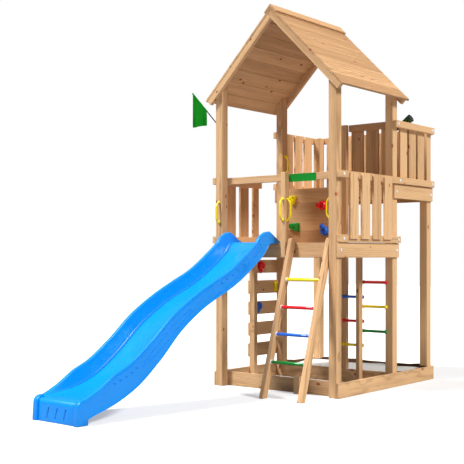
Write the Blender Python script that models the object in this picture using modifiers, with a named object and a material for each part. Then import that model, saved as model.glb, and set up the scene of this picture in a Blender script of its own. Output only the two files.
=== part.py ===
"""Wooden play tower with a wave slide, a ladder, a lookout box and a pitched roof (Blender 4.5).

Tower frame while modelling: metres, +Z up, x runs to the right along the front, y runs back,
and the zero point is the outer ground corner of the front left post.
At the end everything hangs on one empty that puts the middle of the footprint at the world origin.
"""

import math

import bmesh
import bpy
from mathutils import Matrix, Vector

# Main plan: widths and depths over the posts
TOWER_WIDTH = 1.492
LOWER_DEPTH = 1.142
FULL_DEPTH = 1.878
POST = 0.090

# Timber sections
BOARD = 0.022
BOARD_WIDTH = 0.145
RAIL = 0.045
RAIL_DEPTH = 0.070
BEAM_DEPTH = 0.095
STUD_TOP = 1.357
SAWN_EDGE = 0.003
HALF_GAP = 0.00015
BITE = 0.0005

# Heights of the decks, rails and post tops
LOWER_DECK = 1.475
UPPER_DECK = 2.084
LOWER_RAIL_BOTTOM = 1.478
LOWER_RAIL_TOP = 2.088
UPPER_RAIL_BOTTOM = 2.670
UPPER_RAIL_END = UPPER_RAIL_BOTTOM + RAIL_DEPTH
PLANK_PITCH = 0.213
PLANK_CORNER = 0.025
RAIL_JOINT_Y = 1.097

# Roof: both slopes at 45 degrees, ridge along y
RIDGE_X = TOWER_WIDTH / 2
RIDGE_Z = 3.809
ROOF_BOARD = 0.020
ROOF_FRONT = -0.048
ROOF_BACK = 1.219
EAVE_DROP = 0.847
RAFTER_DEPTH = 0.058
RAFTER_FRONT = -RAIL
RAFTER_BACK = LOWER_DEPTH
ROOF_BOARD_COUNT = 8

# Ladder
LADDER_FOOT_Y = -0.407
LADDER_RUN = 0.3125
LADDER_DEPTH = 0.075
LADDER_TOP = 1.520
LADDER_LEFT = 0.910
LADDER_RIGHT = 1.350
RUNG_RADIUS = 0.016

# Slide
SLIDE_X = 0.465
SLIDE_SKIN = 0.006
SLIDE_TOP = LOWER_DECK + 0.008
SLIDE_BACK = 0.140
SLIDE_FOOT = -2.550
SLIDE_HALF_BED = 0.2125
SLIDE_HALF_CREST = 0.250
SLIDE_HALF_WIDTH = 0.275
SLIDE_WALL = 0.140
GROUND_LIFT = 0.001

# Grab handles
HANDLE_RADIUS = 0.009
HANDLE_SPACING = 0.206
HANDLE_REACH = 0.056

# Telescope
PIVOT_X = 1.415
PIVOT_Y = 1.400
PIVOT_Z = 2.745
TELESCOPE_TILT = math.radians(30.0)
HUB_TOP = 2.648
HUB_HEIGHT = 0.044
YOKE_FOOT = 0.008
YOKE_HALF = 0.018
CHEEK_GAP = 0.0345
CHEEK = 0.007

# Flag
FLAG_Y = 0.045
POLE_RADIUS = 0.006
POLE_FOOT_Z = 2.706
POLE_SLOPE = 1.035
FLAG_OUTER = -0.360
FLAG_INNER = -0.163

# Overall extents of the finished tower, used to centre it
X_EXTENT = (-0.3675, 1.5920)
Y_EXTENT = (-2.550, 1.92285)

WOOD = (0.72, 0.50, 0.29)
WOOD_PALE = (0.80, 0.60, 0.38)
WOOD_WARM = (0.66, 0.44, 0.25)
YELLOW = (0.98, 0.80, 0.01)
RED = (0.78, 0.01, 0.01)
BLUE = (0.02, 0.16, 0.72)
GREEN = (0.01, 0.24, 0.03)


def clear_scene():
    """Start from an empty scene."""
    for item in list(bpy.data.objects):
        bpy.data.objects.remove(item, do_unlink=True)


def material(name, colour, roughness, metallic=0.0):
    """A Principled material with a plain colour."""
    made = bpy.data.materials.new(name)
    made.use_nodes = True
    shader = made.node_tree.nodes["Principled BSDF"]
    shader.inputs["Base Color"].default_value = (*colour, 1.0)
    shader.inputs["Roughness"].default_value = roughness
    shader.inputs["Metallic"].default_value = metallic
    made.diffuse_color = (*colour, 1.0)
    return made


def new_object(name, mesh, parts):
    """Link a mesh into a collection as a named object."""
    item = bpy.data.objects.new(name, mesh)
    parts.objects.link(item)
    return item


def finish(item, parts, colour, roughness=0.7, metallic=0.0, smooth=False):
    """Give an object its own material and its place in the collection."""
    for owner in list(item.users_collection):
        owner.objects.unlink(item)
    parts.objects.link(item)
    item.data.materials.clear()
    item.data.materials.append(material(item.name, colour, roughness, metallic))
    if smooth and item.type == "MESH":
        item.data.shade_smooth()
        item.data.set_sharp_from_angle(angle=math.radians(35))
    return item


def set_bevel(item, width, segments=1):
    """Soften the sawn edges of a timber."""
    edge = item.modifiers.new("sawn_edges", "BEVEL")
    edge.width = width
    edge.segments = segments
    edge.limit_method = "ANGLE"
    edge.angle_limit = math.radians(40)


def timber(name, parts, x, y, z, edge=SAWN_EDGE, grow=""):
    """A squared timber between two x, two y and two z planes, a hair short on every face.

    Along the axes named in grow it runs a little past both planes, to bite into the
    neighbours that it is fixed to.
    """
    trim = [-BITE if axis in grow else HALF_GAP for axis in "xyz"]
    low = Vector((x[0] + trim[0], y[0] + trim[1], z[0] + (trim[2] if z[0] > 0 else 0)))
    high = Vector((x[1] - trim[0], y[1] - trim[1], z[1] - trim[2]))
    size = high - low
    shape = bmesh.new()
    bmesh.ops.create_cube(shape, size=1.0)
    bmesh.ops.scale(shape, vec=size, verts=shape.verts)
    mesh = bpy.data.meshes.new(name)
    shape.to_mesh(mesh)
    shape.free()
    item = new_object(name, mesh, parts)
    item.location = (low + high) / 2
    if edge:
        set_bevel(item, edge)
    return item


def solid_mesh(item):
    """The evaluated mesh of an object in tower coordinates, welded shut."""
    bpy.context.view_layer.update()
    depsgraph = bpy.context.evaluated_depsgraph_get()
    mesh = bpy.data.meshes.new_from_object(item.evaluated_get(depsgraph))
    mesh.transform(item.matrix_world)
    shape = bmesh.new()
    shape.from_mesh(mesh)
    bmesh.ops.remove_doubles(shape, verts=shape.verts, dist=0.00001)
    if item.matrix_world.determinant() < 0:
        bmesh.ops.reverse_faces(shape, faces=shape.faces)
    shape.to_mesh(mesh)
    shape.free()
    return mesh


def joined(name, pieces, parts, cutters=()):
    """Several shapes that bite into each other made one body, less any cutters."""
    first = pieces[0]
    base = new_object(name + "_body", solid_mesh(first), parts)
    steps = [(other, "UNION") for other in pieces[1:]]
    steps += [(other, "DIFFERENCE") for other in cutters]
    for other, operation in steps:
        tool = new_object(name + "_tool", solid_mesh(other), parts)
        cut = base.modifiers.new("shape", "BOOLEAN")
        cut.operation = operation
        cut.object = tool
        mesh = solid_mesh(base)
        base.modifiers.clear()
        base.data = mesh
        bpy.data.objects.remove(tool, do_unlink=True)
    for piece in list(pieces) + list(cutters):
        bpy.data.objects.remove(piece, do_unlink=True)
    base.name = name
    return base


def turned(name, profile, parts, sides=16):
    """A solid turned about Z from (radius, height) points that run from the top down."""
    mesh = bpy.data.meshes.new(name)
    points = [(radius, 0.0, height) for radius, height in profile]
    edges = [(i, i + 1) for i in range(len(points) - 1)]
    mesh.from_pydata(points, edges, [])
    item = new_object(name, mesh, parts)
    screw = item.modifiers.new("turn", "SCREW")
    screw.axis = "Z"
    screw.angle = math.tau
    screw.steps = sides
    screw.render_steps = sides
    screw.use_merge_vertices = True
    screw.merge_threshold = 0.00005
    screw.use_smooth_shade = True
    return item


def tube(name, points, radius, parts, resolution=2):
    """A round bar along straight runs, with filled caps."""
    curve = bpy.data.curves.new(name, "CURVE")
    curve.dimensions = "3D"
    curve.bevel_depth = radius
    curve.bevel_resolution = resolution
    curve.use_fill_caps = True
    spline = curve.splines.new("POLY")
    spline.points.add(len(points) - 1)
    for slot, point in zip(spline.points, points):
        slot.co = (*point, 1.0)
    item = bpy.data.objects.new(name, curve)
    parts.objects.link(item)
    return item


def outline(name, points, thickness, parts):
    """A flat piece cut from sheet or board: points lie in the object's own x and y."""
    curve = bpy.data.curves.new(name, "CURVE")
    curve.dimensions = "2D"
    curve.fill_mode = "BOTH"
    curve.extrude = thickness / 2
    spline = curve.splines.new("POLY")
    spline.points.add(len(points) - 1)
    for slot, (x, y) in zip(spline.points, points):
        slot.co = (x, y, 0.0, 1.0)
    spline.use_cyclic_u = True
    item = bpy.data.objects.new(name, curve)
    parts.objects.link(item)
    return item


def arc(cx, cy, radius, start, end, steps):
    """Points along an arc, angles in degrees."""
    found = []
    for i in range(steps + 1):
        angle = math.radians(start + (end - start) * i / steps)
        found.append((cx + radius * math.cos(angle), cy + radius * math.sin(angle)))
    return found


def plank(name, parts, width, bottom, top):
    """A fence plank with rounded top corners, standing with its outline in x and z."""
    half = width / 2 - HALF_GAP
    r = PLANK_CORNER
    points = [(-half, bottom), (half, bottom)]
    points += arc(half - r, top - r, r, 0, 90, 4)
    points += arc(-half + r, top - r, r, 90, 180, 4)
    item = outline(name, points, BOARD - 2 * HALF_GAP, parts)
    item.rotation_euler = (math.radians(90), 0, 0)
    return item


def side_planks(name, parts, middle_x, centres, width, bottom, top):
    """Planks that face left and right, one at each y centre."""
    row = []
    for centre in centres:
        piece = plank(name + "_piece", parts, width, bottom, top)
        piece.rotation_euler = (math.radians(90), 0, math.radians(90))
        piece.location = (middle_x, centre, 0)
        row.append(piece)
    return row


def cross_planks(name, parts, middle_y, centres, width, bottom, top):
    """Planks that face front and back, one at each x centre."""
    row = []
    for centre in centres:
        piece = plank(name + "_piece", parts, width, bottom, top)
        piece.location = (centre, middle_y, 0)
        row.append(piece)
    return row


def make_posts(parts):
    """Six square posts: the front four carry the roof and the rear two end at the lookout rail."""
    right = TOWER_WIDTH - POST
    middle = LOWER_DEPTH - POST
    rear = FULL_DEPTH - POST
    places = {
        "post_front_left": (0.0, 0.0, 2.925),
        "post_front_right": (right, 0.0, 2.925),
        "post_middle_left": (0.0, middle, 2.925),
        "post_middle_right": (right, middle, 2.925),
        "post_rear_left": (0.0, rear, 2.735),
        "post_rear_right": (right, rear, 2.735),
    }
    for name, (x, y, top) in places.items():
        if top > 2.9:
            item = roofed_post(name, parts, x, y)
        else:
            item = timber(name, parts, (x, x + POST), (y, y + POST), (0, top), edge=0.004)
        finish(item, parts, WOOD_PALE)


def roofed_post(name, parts, x, y):
    """A post whose head is cut to the roof's slope under the boards."""
    low = HALF_GAP
    high = POST - HALF_GAP
    under = RIDGE_Z - ROOF_BOARD * math.sqrt(2) - 0.0006
    outer = under - (RIDGE_X - low)
    inner = under - (RIDGE_X - high)
    if x < RIDGE_X:
        points = [(low, 0), (high, 0), (high, inner), (low, outer)]
    else:
        points = [(low, 0), (high, 0), (high, outer), (low, inner)]
    item = outline(name + "_outline", points, POST - 2 * HALF_GAP, parts)
    item.rotation_euler = (math.radians(90), 0, 0)
    item.location = (x, y + POST / 2, 0)
    mesh = solid_mesh(item)
    bpy.data.objects.remove(item, do_unlink=True)
    for vertex in mesh.vertices:
        vertex.co -= Vector((x, y, 0))
    item = new_object(name, mesh, parts)
    item.location = (x, y, 0)
    set_bevel(item, 0.004)
    return item


def make_studs(parts):
    """The slimmer uprights between the posts."""
    finish(timber("entrance_post", parts, (0.823, 0.876), (0.022, POST), (1.330, 2.173)), parts, WOOD_PALE)
    finish(timber("partition_stud", parts, (0.860, 0.930), (1.052, 1.097), (BOARD_WIDTH, UPPER_RAIL_END)),
           parts, WOOD)
    finish(timber("rung_stud", parts, (1.112, 1.157), (0.947, 1.013), (0, STUD_TOP)), parts, WOOD)


def make_base(parts):
    """Boards on edge along the ground, the divider under the partition and a stake at the front board."""
    width = TOWER_WIDTH
    rear = FULL_DEPTH
    high = (0, BOARD_WIDTH)
    board = timber("board", parts, (0, width), (POST, POST + BOARD), high)
    stake = timber("stake", parts, (0.985, 1.060), (0.010, POST + BITE), (0, 0.175))
    finish(joined("base_board_front", [board, stake], parts), parts, WOOD)
    finish(timber("base_board_rear", parts, (0, width), (rear, rear + BOARD), high), parts, WOOD)
    finish(timber("base_board_left", parts, (-BOARD, 0), (0, rear + BOARD), high), parts, WOOD)
    finish(timber("base_board_right", parts, (width, width + BOARD), (0, rear + BOARD), high), parts, WOOD)
    finish(timber("base_divider", parts, (POST, width - POST), (1.052, 1.074), high), parts, WOOD_WARM)


def make_lower_deck(parts):
    """The main platform: aprons on three sides, a rear beam, joists and deck boards, fixed together."""
    width = TOWER_WIDTH
    apron = (LOWER_DECK - BOARD_WIDTH, LOWER_DECK)
    joist_z = (LOWER_DECK - BOARD - BEAM_DEPTH, LOWER_DECK - BOARD)
    beam_y = 1.0515 - RAIL
    front = POST + BOARD
    pieces = [
        timber("apron", parts, (0, width), (POST, front), apron, grow="x"),
        timber("apron", parts, (-BOARD, 0), (0, LOWER_DEPTH), apron),
        timber("apron", parts, (width, width + BOARD), (0, LOWER_DEPTH), apron),
        timber("beam", parts, (0, width), (beam_y, 1.0515), joist_z, edge=0, grow="xz"),
    ]
    for left in (0.0, 0.373, 0.723, 1.112, width - RAIL):
        pieces.append(timber("joist", parts, (left, left + RAIL), (front, beam_y), joist_z, edge=0, grow="xyz"))
    pitch = (1.0515 - front - BOARD_WIDTH) / 5
    for i in range(6):
        y = front + i * pitch
        span = (y, y + BOARD_WIDTH)
        pieces.append(timber("board", parts, (0, width), span, (LOWER_DECK - BOARD, LOWER_DECK), edge=0, grow="x"))
    finish(joined("lower_deck", pieces, parts), parts, WOOD)


def make_upper_deck(parts):
    """The lookout's platform: aprons on three sides, a front beam, joists and deck boards."""
    width = TOWER_WIDTH
    front = LOWER_DEPTH - POST
    rear = FULL_DEPTH
    rear_posts = FULL_DEPTH - POST
    apron = (UPPER_DECK - BOARD_WIDTH, UPPER_DECK)
    joist_z = (UPPER_DECK - BOARD - BEAM_DEPTH, UPPER_DECK - BOARD)
    clear = 0.001
    behind = (LOWER_DEPTH + clear, rear_posts - clear)
    pieces = [
        timber("apron", parts, (-BOARD, 0), (front, rear), apron),
        timber("apron", parts, (width, width + BOARD), (front, rear), apron),
        timber("apron", parts, (0, width), (rear, rear + BOARD), apron),
        timber("beam", parts, (POST, width - POST), (LOWER_DEPTH - RAIL, LOWER_DEPTH), apron, edge=0),
        timber("joist", parts, (0, RAIL), behind, joist_z, edge=0, grow="xz"),
        timber("joist", parts, (0.723, 0.723 + RAIL), (LOWER_DEPTH, rear), joist_z, edge=0, grow="yz"),
        timber("joist", parts, (width - RAIL, width), behind, joist_z, edge=0, grow="xz"),
    ]
    pitch = (rear - LOWER_DEPTH - BOARD_WIDTH) / 4
    for i in range(5):
        y = LOWER_DEPTH + i * pitch
        notched = y + BOARD_WIDTH > rear_posts
        inset = POST if notched else 0
        pieces.append(timber("board", parts, (inset, width - inset), (y, y + BOARD_WIDTH),
                             (UPPER_DECK - BOARD, UPPER_DECK), edge=0, grow="" if notched else "x"))
    finish(joined("upper_deck", pieces, parts), parts, WOOD)


def rail_z(bottom):
    """Bottom and top of a rail."""
    return (bottom, bottom + RAIL_DEPTH)


def make_lower_fences(parts):
    """The front rail, and the side fences of the main platform with their planks outside the rails."""
    width = TOWER_WIDTH
    finish(timber("front_rail", parts, (0, width), (POST, POST + RAIL), rail_z(LOWER_RAIL_TOP)), parts, WOOD)
    bottom = LOWER_RAIL_BOTTOM + 0.032
    top = LOWER_RAIL_TOP + RAIL_DEPTH - 0.012
    pieces = [
        timber("rail", parts, (width, width + RAIL), (0, LOWER_DEPTH), rail_z(LOWER_RAIL_BOTTOM)),
        timber("rail", parts, (width, width + RAIL), (0, RAIL_JOINT_Y), rail_z(LOWER_RAIL_TOP)),
    ]
    centres = [0.2165 + PLANK_PITCH * i for i in range(4)]
    pieces += side_planks("plank", parts, width + RAIL + BOARD / 2 - 2 * BITE, centres, BOARD_WIDTH, bottom, top)
    finish(joined("fence_right", pieces, parts), parts, WOOD_PALE)
    pieces = [
        timber("rail", parts, (-RAIL, 0), (0, LOWER_DEPTH), rail_z(LOWER_RAIL_BOTTOM)),
        timber("rail", parts, (-RAIL, 0), (0, 0.790), rail_z(LOWER_RAIL_TOP)),
    ]
    middle = -RAIL - BOARD / 2 + 2 * BITE
    pieces += side_planks("plank", parts, middle, [0.3145, 0.5365], BOARD_WIDTH, bottom, top)
    pieces += side_planks("plank", parts, middle, [0.739], 0.100, bottom, top)
    finish(joined("fence_left", pieces, parts), parts, WOOD_PALE)


def make_lookout_fence(parts):
    """Rails outside the posts and planks inside the rails, round three sides and part of the front."""
    width = TOWER_WIDTH
    front = LOWER_DEPTH - POST
    rear = FULL_DEPTH
    high = rail_z(UPPER_RAIL_BOTTOM)
    low = rail_z(LOWER_RAIL_TOP)
    bottom = UPPER_DECK + 0.011
    top = UPPER_RAIL_END - 0.010
    side = [1.2775, 1.4645, 1.6515]
    bite = 2 * BITE
    pieces = [
        timber("rail", parts, (width, width + RAIL), (front, rear), high),
        timber("rail", parts, (width, width + RAIL), (RAIL_JOINT_Y, rear), low),
    ]
    pieces += side_planks("plank", parts, width - BOARD / 2 + bite, side, BOARD_WIDTH, bottom, top)
    finish(joined("lookout_fence_right", pieces, parts), parts, WOOD_PALE)
    pieces = [
        timber("rail", parts, (-RAIL, 0), (front, rear), high),
        timber("rail", parts, (-RAIL, 0), (front, rear), low),
    ]
    pieces += side_planks("plank", parts, BOARD / 2 - bite, side, BOARD_WIDTH, bottom, top)
    finish(joined("lookout_fence_left", pieces, parts), parts, WOOD_PALE)
    pieces = [
        timber("rail", parts, (0, width), (rear, rear + RAIL), high),
        timber("rail", parts, (0, width), (rear, rear + RAIL), low),
    ]
    back = [0.2135 + PLANK_PITCH * i for i in range(6)]
    pieces += cross_planks("plank", parts, rear - BOARD / 2 + bite, back, BOARD_WIDTH, bottom, top)
    finish(joined("lookout_fence_rear", pieces, parts), parts, WOOD_PALE)
    reach = (LOWER_DEPTH - RAIL, LOWER_DEPTH + bite)
    pieces = [
        timber("rail", parts, (0.930, width - POST), reach, high),
        timber("rail", parts, (0.930, width - POST), reach, low),
    ]
    inside = LOWER_DEPTH + BOARD / 2
    pieces += cross_planks("plank", parts, inside, [1.0085, 1.1915, 1.3745], BOARD_WIDTH, bottom, top)
    finish(joined("lookout_fence_front", pieces, parts), parts, WOOD_PALE)


def make_climbing_walls(parts):
    """Spaced boards to climb on the left side, and the closed partition panel inside."""
    pieces = [timber("stud", parts, (0, 0.070), (0.563, 0.620), (0, STUD_TOP))]
    for i in range(5):
        z = 0.250 + 0.227 * i
        pieces.append(timber("row", parts, (-BOARD, 0), (0.563, LOWER_DEPTH), (z, z + BOARD_WIDTH)))
        pieces.append(timber("seat", parts, (-0.001, 0.001), (0.566, 0.617), (z + 0.004, z + BOARD_WIDTH - 0.004),
                             edge=0))
    finish(joined("climbing_wall", pieces, parts), parts, WOOD)
    count = 4
    height = (2.085 - LOWER_DECK - 2 * BITE) / count
    panel = []
    for i in range(count):
        z = LOWER_DECK + BITE + 0.0002 + height * i
        panel.append(timber("row", parts, (POST, 0.860), (1.052, 1.074), (z, z + height), edge=0.002, grow="z"))
    finish(joined("partition_panel", panel, parts), parts, WOOD_WARM)


def ring_hold(name, parts, radius, height):
    """A round hold with a sunk middle, its base on the plane z = 0."""
    dip = radius * 0.42
    profile = [
        (0.0, height * 0.45),
        (dip * 0.7, height * 0.47),
        (dip, height * 0.72),
        (radius * 0.58, height * 0.97),
        (radius * 0.78, height * 0.93),
        (radius * 0.94, height * 0.55),
        (radius, 0.0),
        (0.0, 0.0),
    ]
    return turned(name, profile, parts, sides=16)


def knob_hold(name, parts, radius, height):
    """A plain domed lobe."""
    profile = [
        (0.0, height),
        (radius * 0.5, height * 0.92),
        (radius * 0.85, height * 0.62),
        (radius, height * 0.2),
        (radius, 0.0),
        (0.0, 0.0),
    ]
    return turned(name, profile, parts, sides=12)


def block_hold(name, parts, corners, height, dimples):
    """A moulded block with rounded corners, sloping sides and bolt dimples."""
    middle = Vector((sum(x for x, y in corners), sum(y for x, y in corners))) / len(corners)
    shape = bmesh.new()
    rings = []
    for scale, z in ((1.0, 0.0), (0.97, height * 0.55), (0.78, height * 0.93), (0.45, height)):
        ring = []
        for x, y in corners:
            spot = middle + (Vector((x, y)) - middle) * scale
            ring.append(shape.verts.new((spot.x, spot.y, z)))
        rings.append(ring)
    count = len(corners)
    for lower, upper in zip(rings, rings[1:]):
        for i in range(count):
            j = (i + 1) % count
            shape.faces.new((lower[i], lower[j], upper[j], upper[i]))
    shape.faces.new(rings[0][::-1])
    shape.faces.new(rings[-1])
    mesh = bpy.data.meshes.new(name)
    shape.to_mesh(mesh)
    shape.free()
    body = new_object(name, mesh, parts)
    cuts = []
    for x, y in dimples:
        cut = turned(name + "_dimple", [(0.0, height * 1.3), (0.010, height * 1.3), (0.010, height * 0.55),
                                        (0.0, height * 0.55)], parts, sides=10)
        cut.location = (x, y, 0)
        cuts.append(cut)
    return joined(name, [body], parts, cuts)


def rounded_corners(points, radius, steps=3):
    """Round the corners of a convex outline that runs anticlockwise."""
    found = []
    count = len(points)
    for i in range(count):
        here = Vector(points[i])
        before = (Vector(points[i - 1]) - here).normalized()
        after = (Vector(points[(i + 1) % count]) - here).normalized()
        half = before.angle(after) / 2
        reach = radius / math.tan(half)
        start = here + before * reach
        end = here + after * reach
        for k in range(steps + 1):
            t = k / steps
            found.append(tuple((start * (1 - t) ** 2 + here * 2 * t * (1 - t) + end * t ** 2).xy))
    return found


def turn_to_front(item, x, z):
    """Seat a hold modelled on z = 0 against the front of the partition panel."""
    item.rotation_euler = (math.radians(90), 0, 0)
    item.location = (x, 1.052 - HALF_GAP, z)
    return item


def turn_to_inside(item, y, z):
    """Seat a hold modelled on z = 0 against the inner face of the climbing wall."""
    item.rotation_euler = (math.radians(90), 0, math.radians(90))
    item.location = (HALF_GAP, y, z)
    return item


def snail_hold(name, parts, big_at, small_at):
    """A ring with a sunk middle and a smaller lobe beside it."""
    big = ring_hold("big", parts, 0.052, 0.046)
    big.location = (*big_at, 0)
    small = knob_hold("small", parts, 0.030, 0.034)
    small.location = (*small_at, 0)
    return joined(name, [big, small], parts)


def make_holds(parts):
    """Seven moulded climbing holds: four on the partition panel and three on the climbing wall."""
    triangle = rounded_corners([(-0.062, 0.045), (0.000, -0.070), (0.058, 0.062)], 0.022)
    hold = block_hold("hold_panel_yellow", parts, triangle, 0.040, [(-0.022, 0.006), (0.018, 0.024)])
    finish(turn_to_front(hold, 0.237, 1.961), parts, YELLOW, 0.35, smooth=True)
    hold = snail_hold("hold_panel_red", parts, (0.020, 0.0), (-0.042, 0.002))
    finish(turn_to_front(hold, 0.611, 1.893), parts, RED, 0.35, smooth=True)
    hold = snail_hold("hold_panel_blue", parts, (0.016, -0.024), (-0.022, 0.030))
    finish(turn_to_front(hold, 0.644, 1.637), parts, BLUE, 0.35, smooth=True)
    wedge = rounded_corners([(-0.072, -0.004), (0.060, -0.060), (0.068, 0.052), (-0.062, 0.046)], 0.016)
    hold = block_hold("hold_panel_green", parts, wedge, 0.042, [(0.012, 0.0)])
    finish(turn_to_front(hold, 0.254, 1.661), parts, GREEN, 0.35, smooth=True)

    bar = rounded_corners([(-0.020, -0.055), (0.020, -0.055), (0.020, 0.055), (-0.020, 0.055)], 0.014)
    hold = block_hold("hold_wall_yellow", parts, bar, 0.034, [(0.0, 0.0)])
    finish(turn_to_inside(hold, 1.026, 1.002), parts, YELLOW, 0.35, smooth=True)
    hold = snail_hold("hold_wall_red", parts, (0.0, 0.012), (0.004, -0.045))
    finish(turn_to_inside(hold, 0.752, 1.228), parts, RED, 0.35, smooth=True)
    hold = snail_hold("hold_wall_blue", parts, (0.0, 0.010), (0.004, -0.040))
    finish(turn_to_inside(hold, 0.700, 0.785), parts, BLUE, 0.35, smooth=True)


def ladder_y(z):
    """Where the middle line of the ladder's stiles passes at a height."""
    return LADDER_FOOT_Y + LADDER_RUN * z


def make_ladder(parts):
    """Two leaning stiles with level feet, notched flat against the apron, and four round rungs."""
    half = LADDER_DEPTH / 2 * math.sqrt(1 + LADDER_RUN ** 2)
    seat = POST - HALF_GAP
    seat_z = (seat - half - LADDER_FOOT_Y) / LADDER_RUN
    top = LADDER_TOP
    points = [
        (ladder_y(0) - half, 0),
        (ladder_y(0) + half, 0),
        (seat, seat_z),
        (seat, top - 0.012),
        (ladder_y(top) - half + 0.014, top),
        (ladder_y(top) - half - 0.002, top - 0.012),
    ]
    for name, left in (("ladder_stile_left", LADDER_LEFT), ("ladder_stile_right", LADDER_RIGHT)):
        shape = outline("stile", points, RAIL - 2 * HALF_GAP, parts)
        shape.rotation_euler = (math.radians(90), 0, math.radians(90))
        shape.location = (left + RAIL / 2, 0, 0)
        stile = joined(name, [shape], parts)
        set_bevel(stile, SAWN_EDGE)
        finish(stile, parts, WOOD_PALE)
    rungs = (("yellow", 1.118, YELLOW), ("red", 0.853, RED), ("blue", 0.598, BLUE), ("green", 0.337, GREEN))
    length = LADDER_RIGHT - LADDER_LEFT - RAIL - 2 * HALF_GAP
    for name, z, colour in rungs:
        rung = round_bar("ladder_rung_" + name, parts, RUNG_RADIUS, length)
        rung.rotation_euler = (0, math.radians(90), 0)
        rung.location = (LADDER_LEFT + RAIL + HALF_GAP + length / 2, ladder_y(z), z)
        finish(rung, parts, colour, 0.35, smooth=True)


def round_bar(name, parts, radius, length):
    """A round bar along its own z with lightly rounded ends."""
    half = length / 2
    soft = 0.003
    profile = [
        (0.0, half),
        (radius - soft, half),
        (radius, half - soft),
        (radius, soft - half),
        (radius - soft, -half),
        (0.0, -half),
    ]
    return turned(name, profile, parts, sides=16)


def ball_bar(name, parts, bar, ball, length):
    """A rung with a ball at each end, along its own z, length between the ball centres."""
    half = length / 2
    join = math.sqrt(ball ** 2 - bar ** 2)
    upper = [(0.0, half + ball)]
    for turn in (60, 30, 0):
        angle = math.radians(turn)
        upper.append((ball * math.cos(angle), half + ball * math.sin(angle)))
    upper.append((bar, half - join))
    lower = [(radius, -height) for radius, height in reversed(upper)]
    return turned(name, upper + lower, parts, sides=12)


def make_under_deck_rungs(parts):
    """Six coloured rungs in the plane between the front studs and the rear posts."""
    ball = 0.0192
    y = (1.013 + 1.052) / 2
    near = (0.909, 1.145)
    far = (1.158, 1.420)
    rungs = (
        ("climb_rung_left_blue", near, 0.915, BLUE),
        ("climb_rung_left_red", near, 0.661, RED),
        ("climb_rung_left_yellow", near, 0.408, YELLOW),
        ("climb_rung_right_red", far, 1.072, RED),
        ("climb_rung_right_yellow", far, 0.819, YELLOW),
        ("climb_rung_right_green", far, 0.563, GREEN),
    )
    for name, (left, right), z, colour in rungs:
        bar = ball_bar(name, parts, 0.0145, ball, right - left)
        bar.rotation_euler = (0, math.radians(90), 0)
        bar.location = ((left + right) / 2, y, z)
        finish(bar, parts, colour, 0.35, smooth=True)


def handle(name, parts):
    """A grab handle on the plane x = 0, bulging along +x, its feet one above the other."""
    top = HANDLE_SPACING / 2
    points = [
        (0.010, 0, top),
        (0.016, 0, top),
        (HANDLE_REACH - 0.012, 0, top - 0.026),
        (HANDLE_REACH - HANDLE_RADIUS, 0, top - 0.046),
        (HANDLE_REACH - HANDLE_RADIUS, 0, 0.046 - top),
        (HANDLE_REACH - 0.012, 0, 0.026 - top),
        (0.016, 0, -top),
        (0.010, 0, -top),
    ]
    bar = tube("bar", points, HANDLE_RADIUS, parts, resolution=1)
    shapes = [bar]
    for z in (top, -top):
        foot = turned("foot", [(0.0, 0.021), (0.009, 0.020), (0.0135, 0.015), (0.016, 0.006), (0.016, 0.0),
                               (0.0, 0.0)], parts, sides=12)
        foot.rotation_euler = (0, math.radians(90), 0)
        foot.location = (0, 0, z)
        shapes.append(foot)
    return joined(name, shapes, parts)


def make_handles(parts):
    """Five grab handles: two on the entrance post, one on each neighbour and one at the lookout."""
    right_post = TOWER_WIDTH - POST
    places = (
        ("handle_entrance_front", (0.8495, 0.022 - HALF_GAP, 1.804), -90),
        ("handle_entrance_side", (0.876 + HALF_GAP, 0.056, 1.804), 0),
        ("handle_front_left", (0.045, -HALF_GAP, 1.798), -90),
        ("handle_front_right", (right_post - HALF_GAP, 0.045, 1.804), 180),
        ("handle_lookout", (POST + HALF_GAP, 1.086, 2.3615), 0),
    )
    for name, place, turn in places:
        item = handle(name, parts)
        item.rotation_euler = (0, 0, math.radians(turn))
        item.location = place
        finish(item, parts, YELLOW, 0.35, smooth=True)


def smooth_value(points, t):
    """A smooth curve through (t, value) points, monotone between them."""
    if t <= points[0][0]:
        return points[0][1]
    if t >= points[-1][0]:
        return points[-1][1]
    slopes = []
    for (t0, v0), (t1, v1) in zip(points, points[1:]):
        slopes.append((v1 - v0) / (t1 - t0))
    tangents = [slopes[0]]
    for before, after in zip(slopes, slopes[1:]):
        tangents.append(0.0 if before * after <= 0 else 2 * before * after / (before + after))
    tangents.append(slopes[-1])
    for i in range(len(slopes)):
        t0, v0 = points[i]
        t1, v1 = points[i + 1]
        if t <= t1:
            span = t1 - t0
            s = (t - t0) / span
            rise = tangents[i] * span
            fall = tangents[i + 1] * span
            return (v0 * (2 * s ** 3 - 3 * s ** 2 + 1) + rise * (s ** 3 - 2 * s ** 2 + s)
                    + v1 * (3 * s ** 2 - 2 * s ** 3) + fall * (s ** 3 - s ** 2))
    return points[-1][1]


def slide_bed(y):
    """Height of the bed's middle line at a distance in front of the tower."""
    run = -y
    points = [(-0.14, SLIDE_TOP), (0.03, SLIDE_TOP), (0.15, 1.373), (0.30, 1.267), (0.60, 1.089), (0.90, 0.964),
              (1.05, 0.896), (1.35, 0.724), (1.65, 0.488), (1.95, 0.304), (2.25, 0.215), (2.40, 0.196),
              (2.45, 0.191), (2.50, 0.180)]
    return smooth_value(points, run)


def slide_wall(y):
    """Height of the side wall above the bed, square to it."""
    run = -y
    return smooth_value([(-0.14, 0.006), (0.05, 0.120), (0.10, 0.145), (0.25, SLIDE_WALL), (1.0, 0.130),
                         (1.7, SLIDE_WALL), (2.05, 0.135), (2.35, 0.050), (2.50, 0.010)], run)


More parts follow.
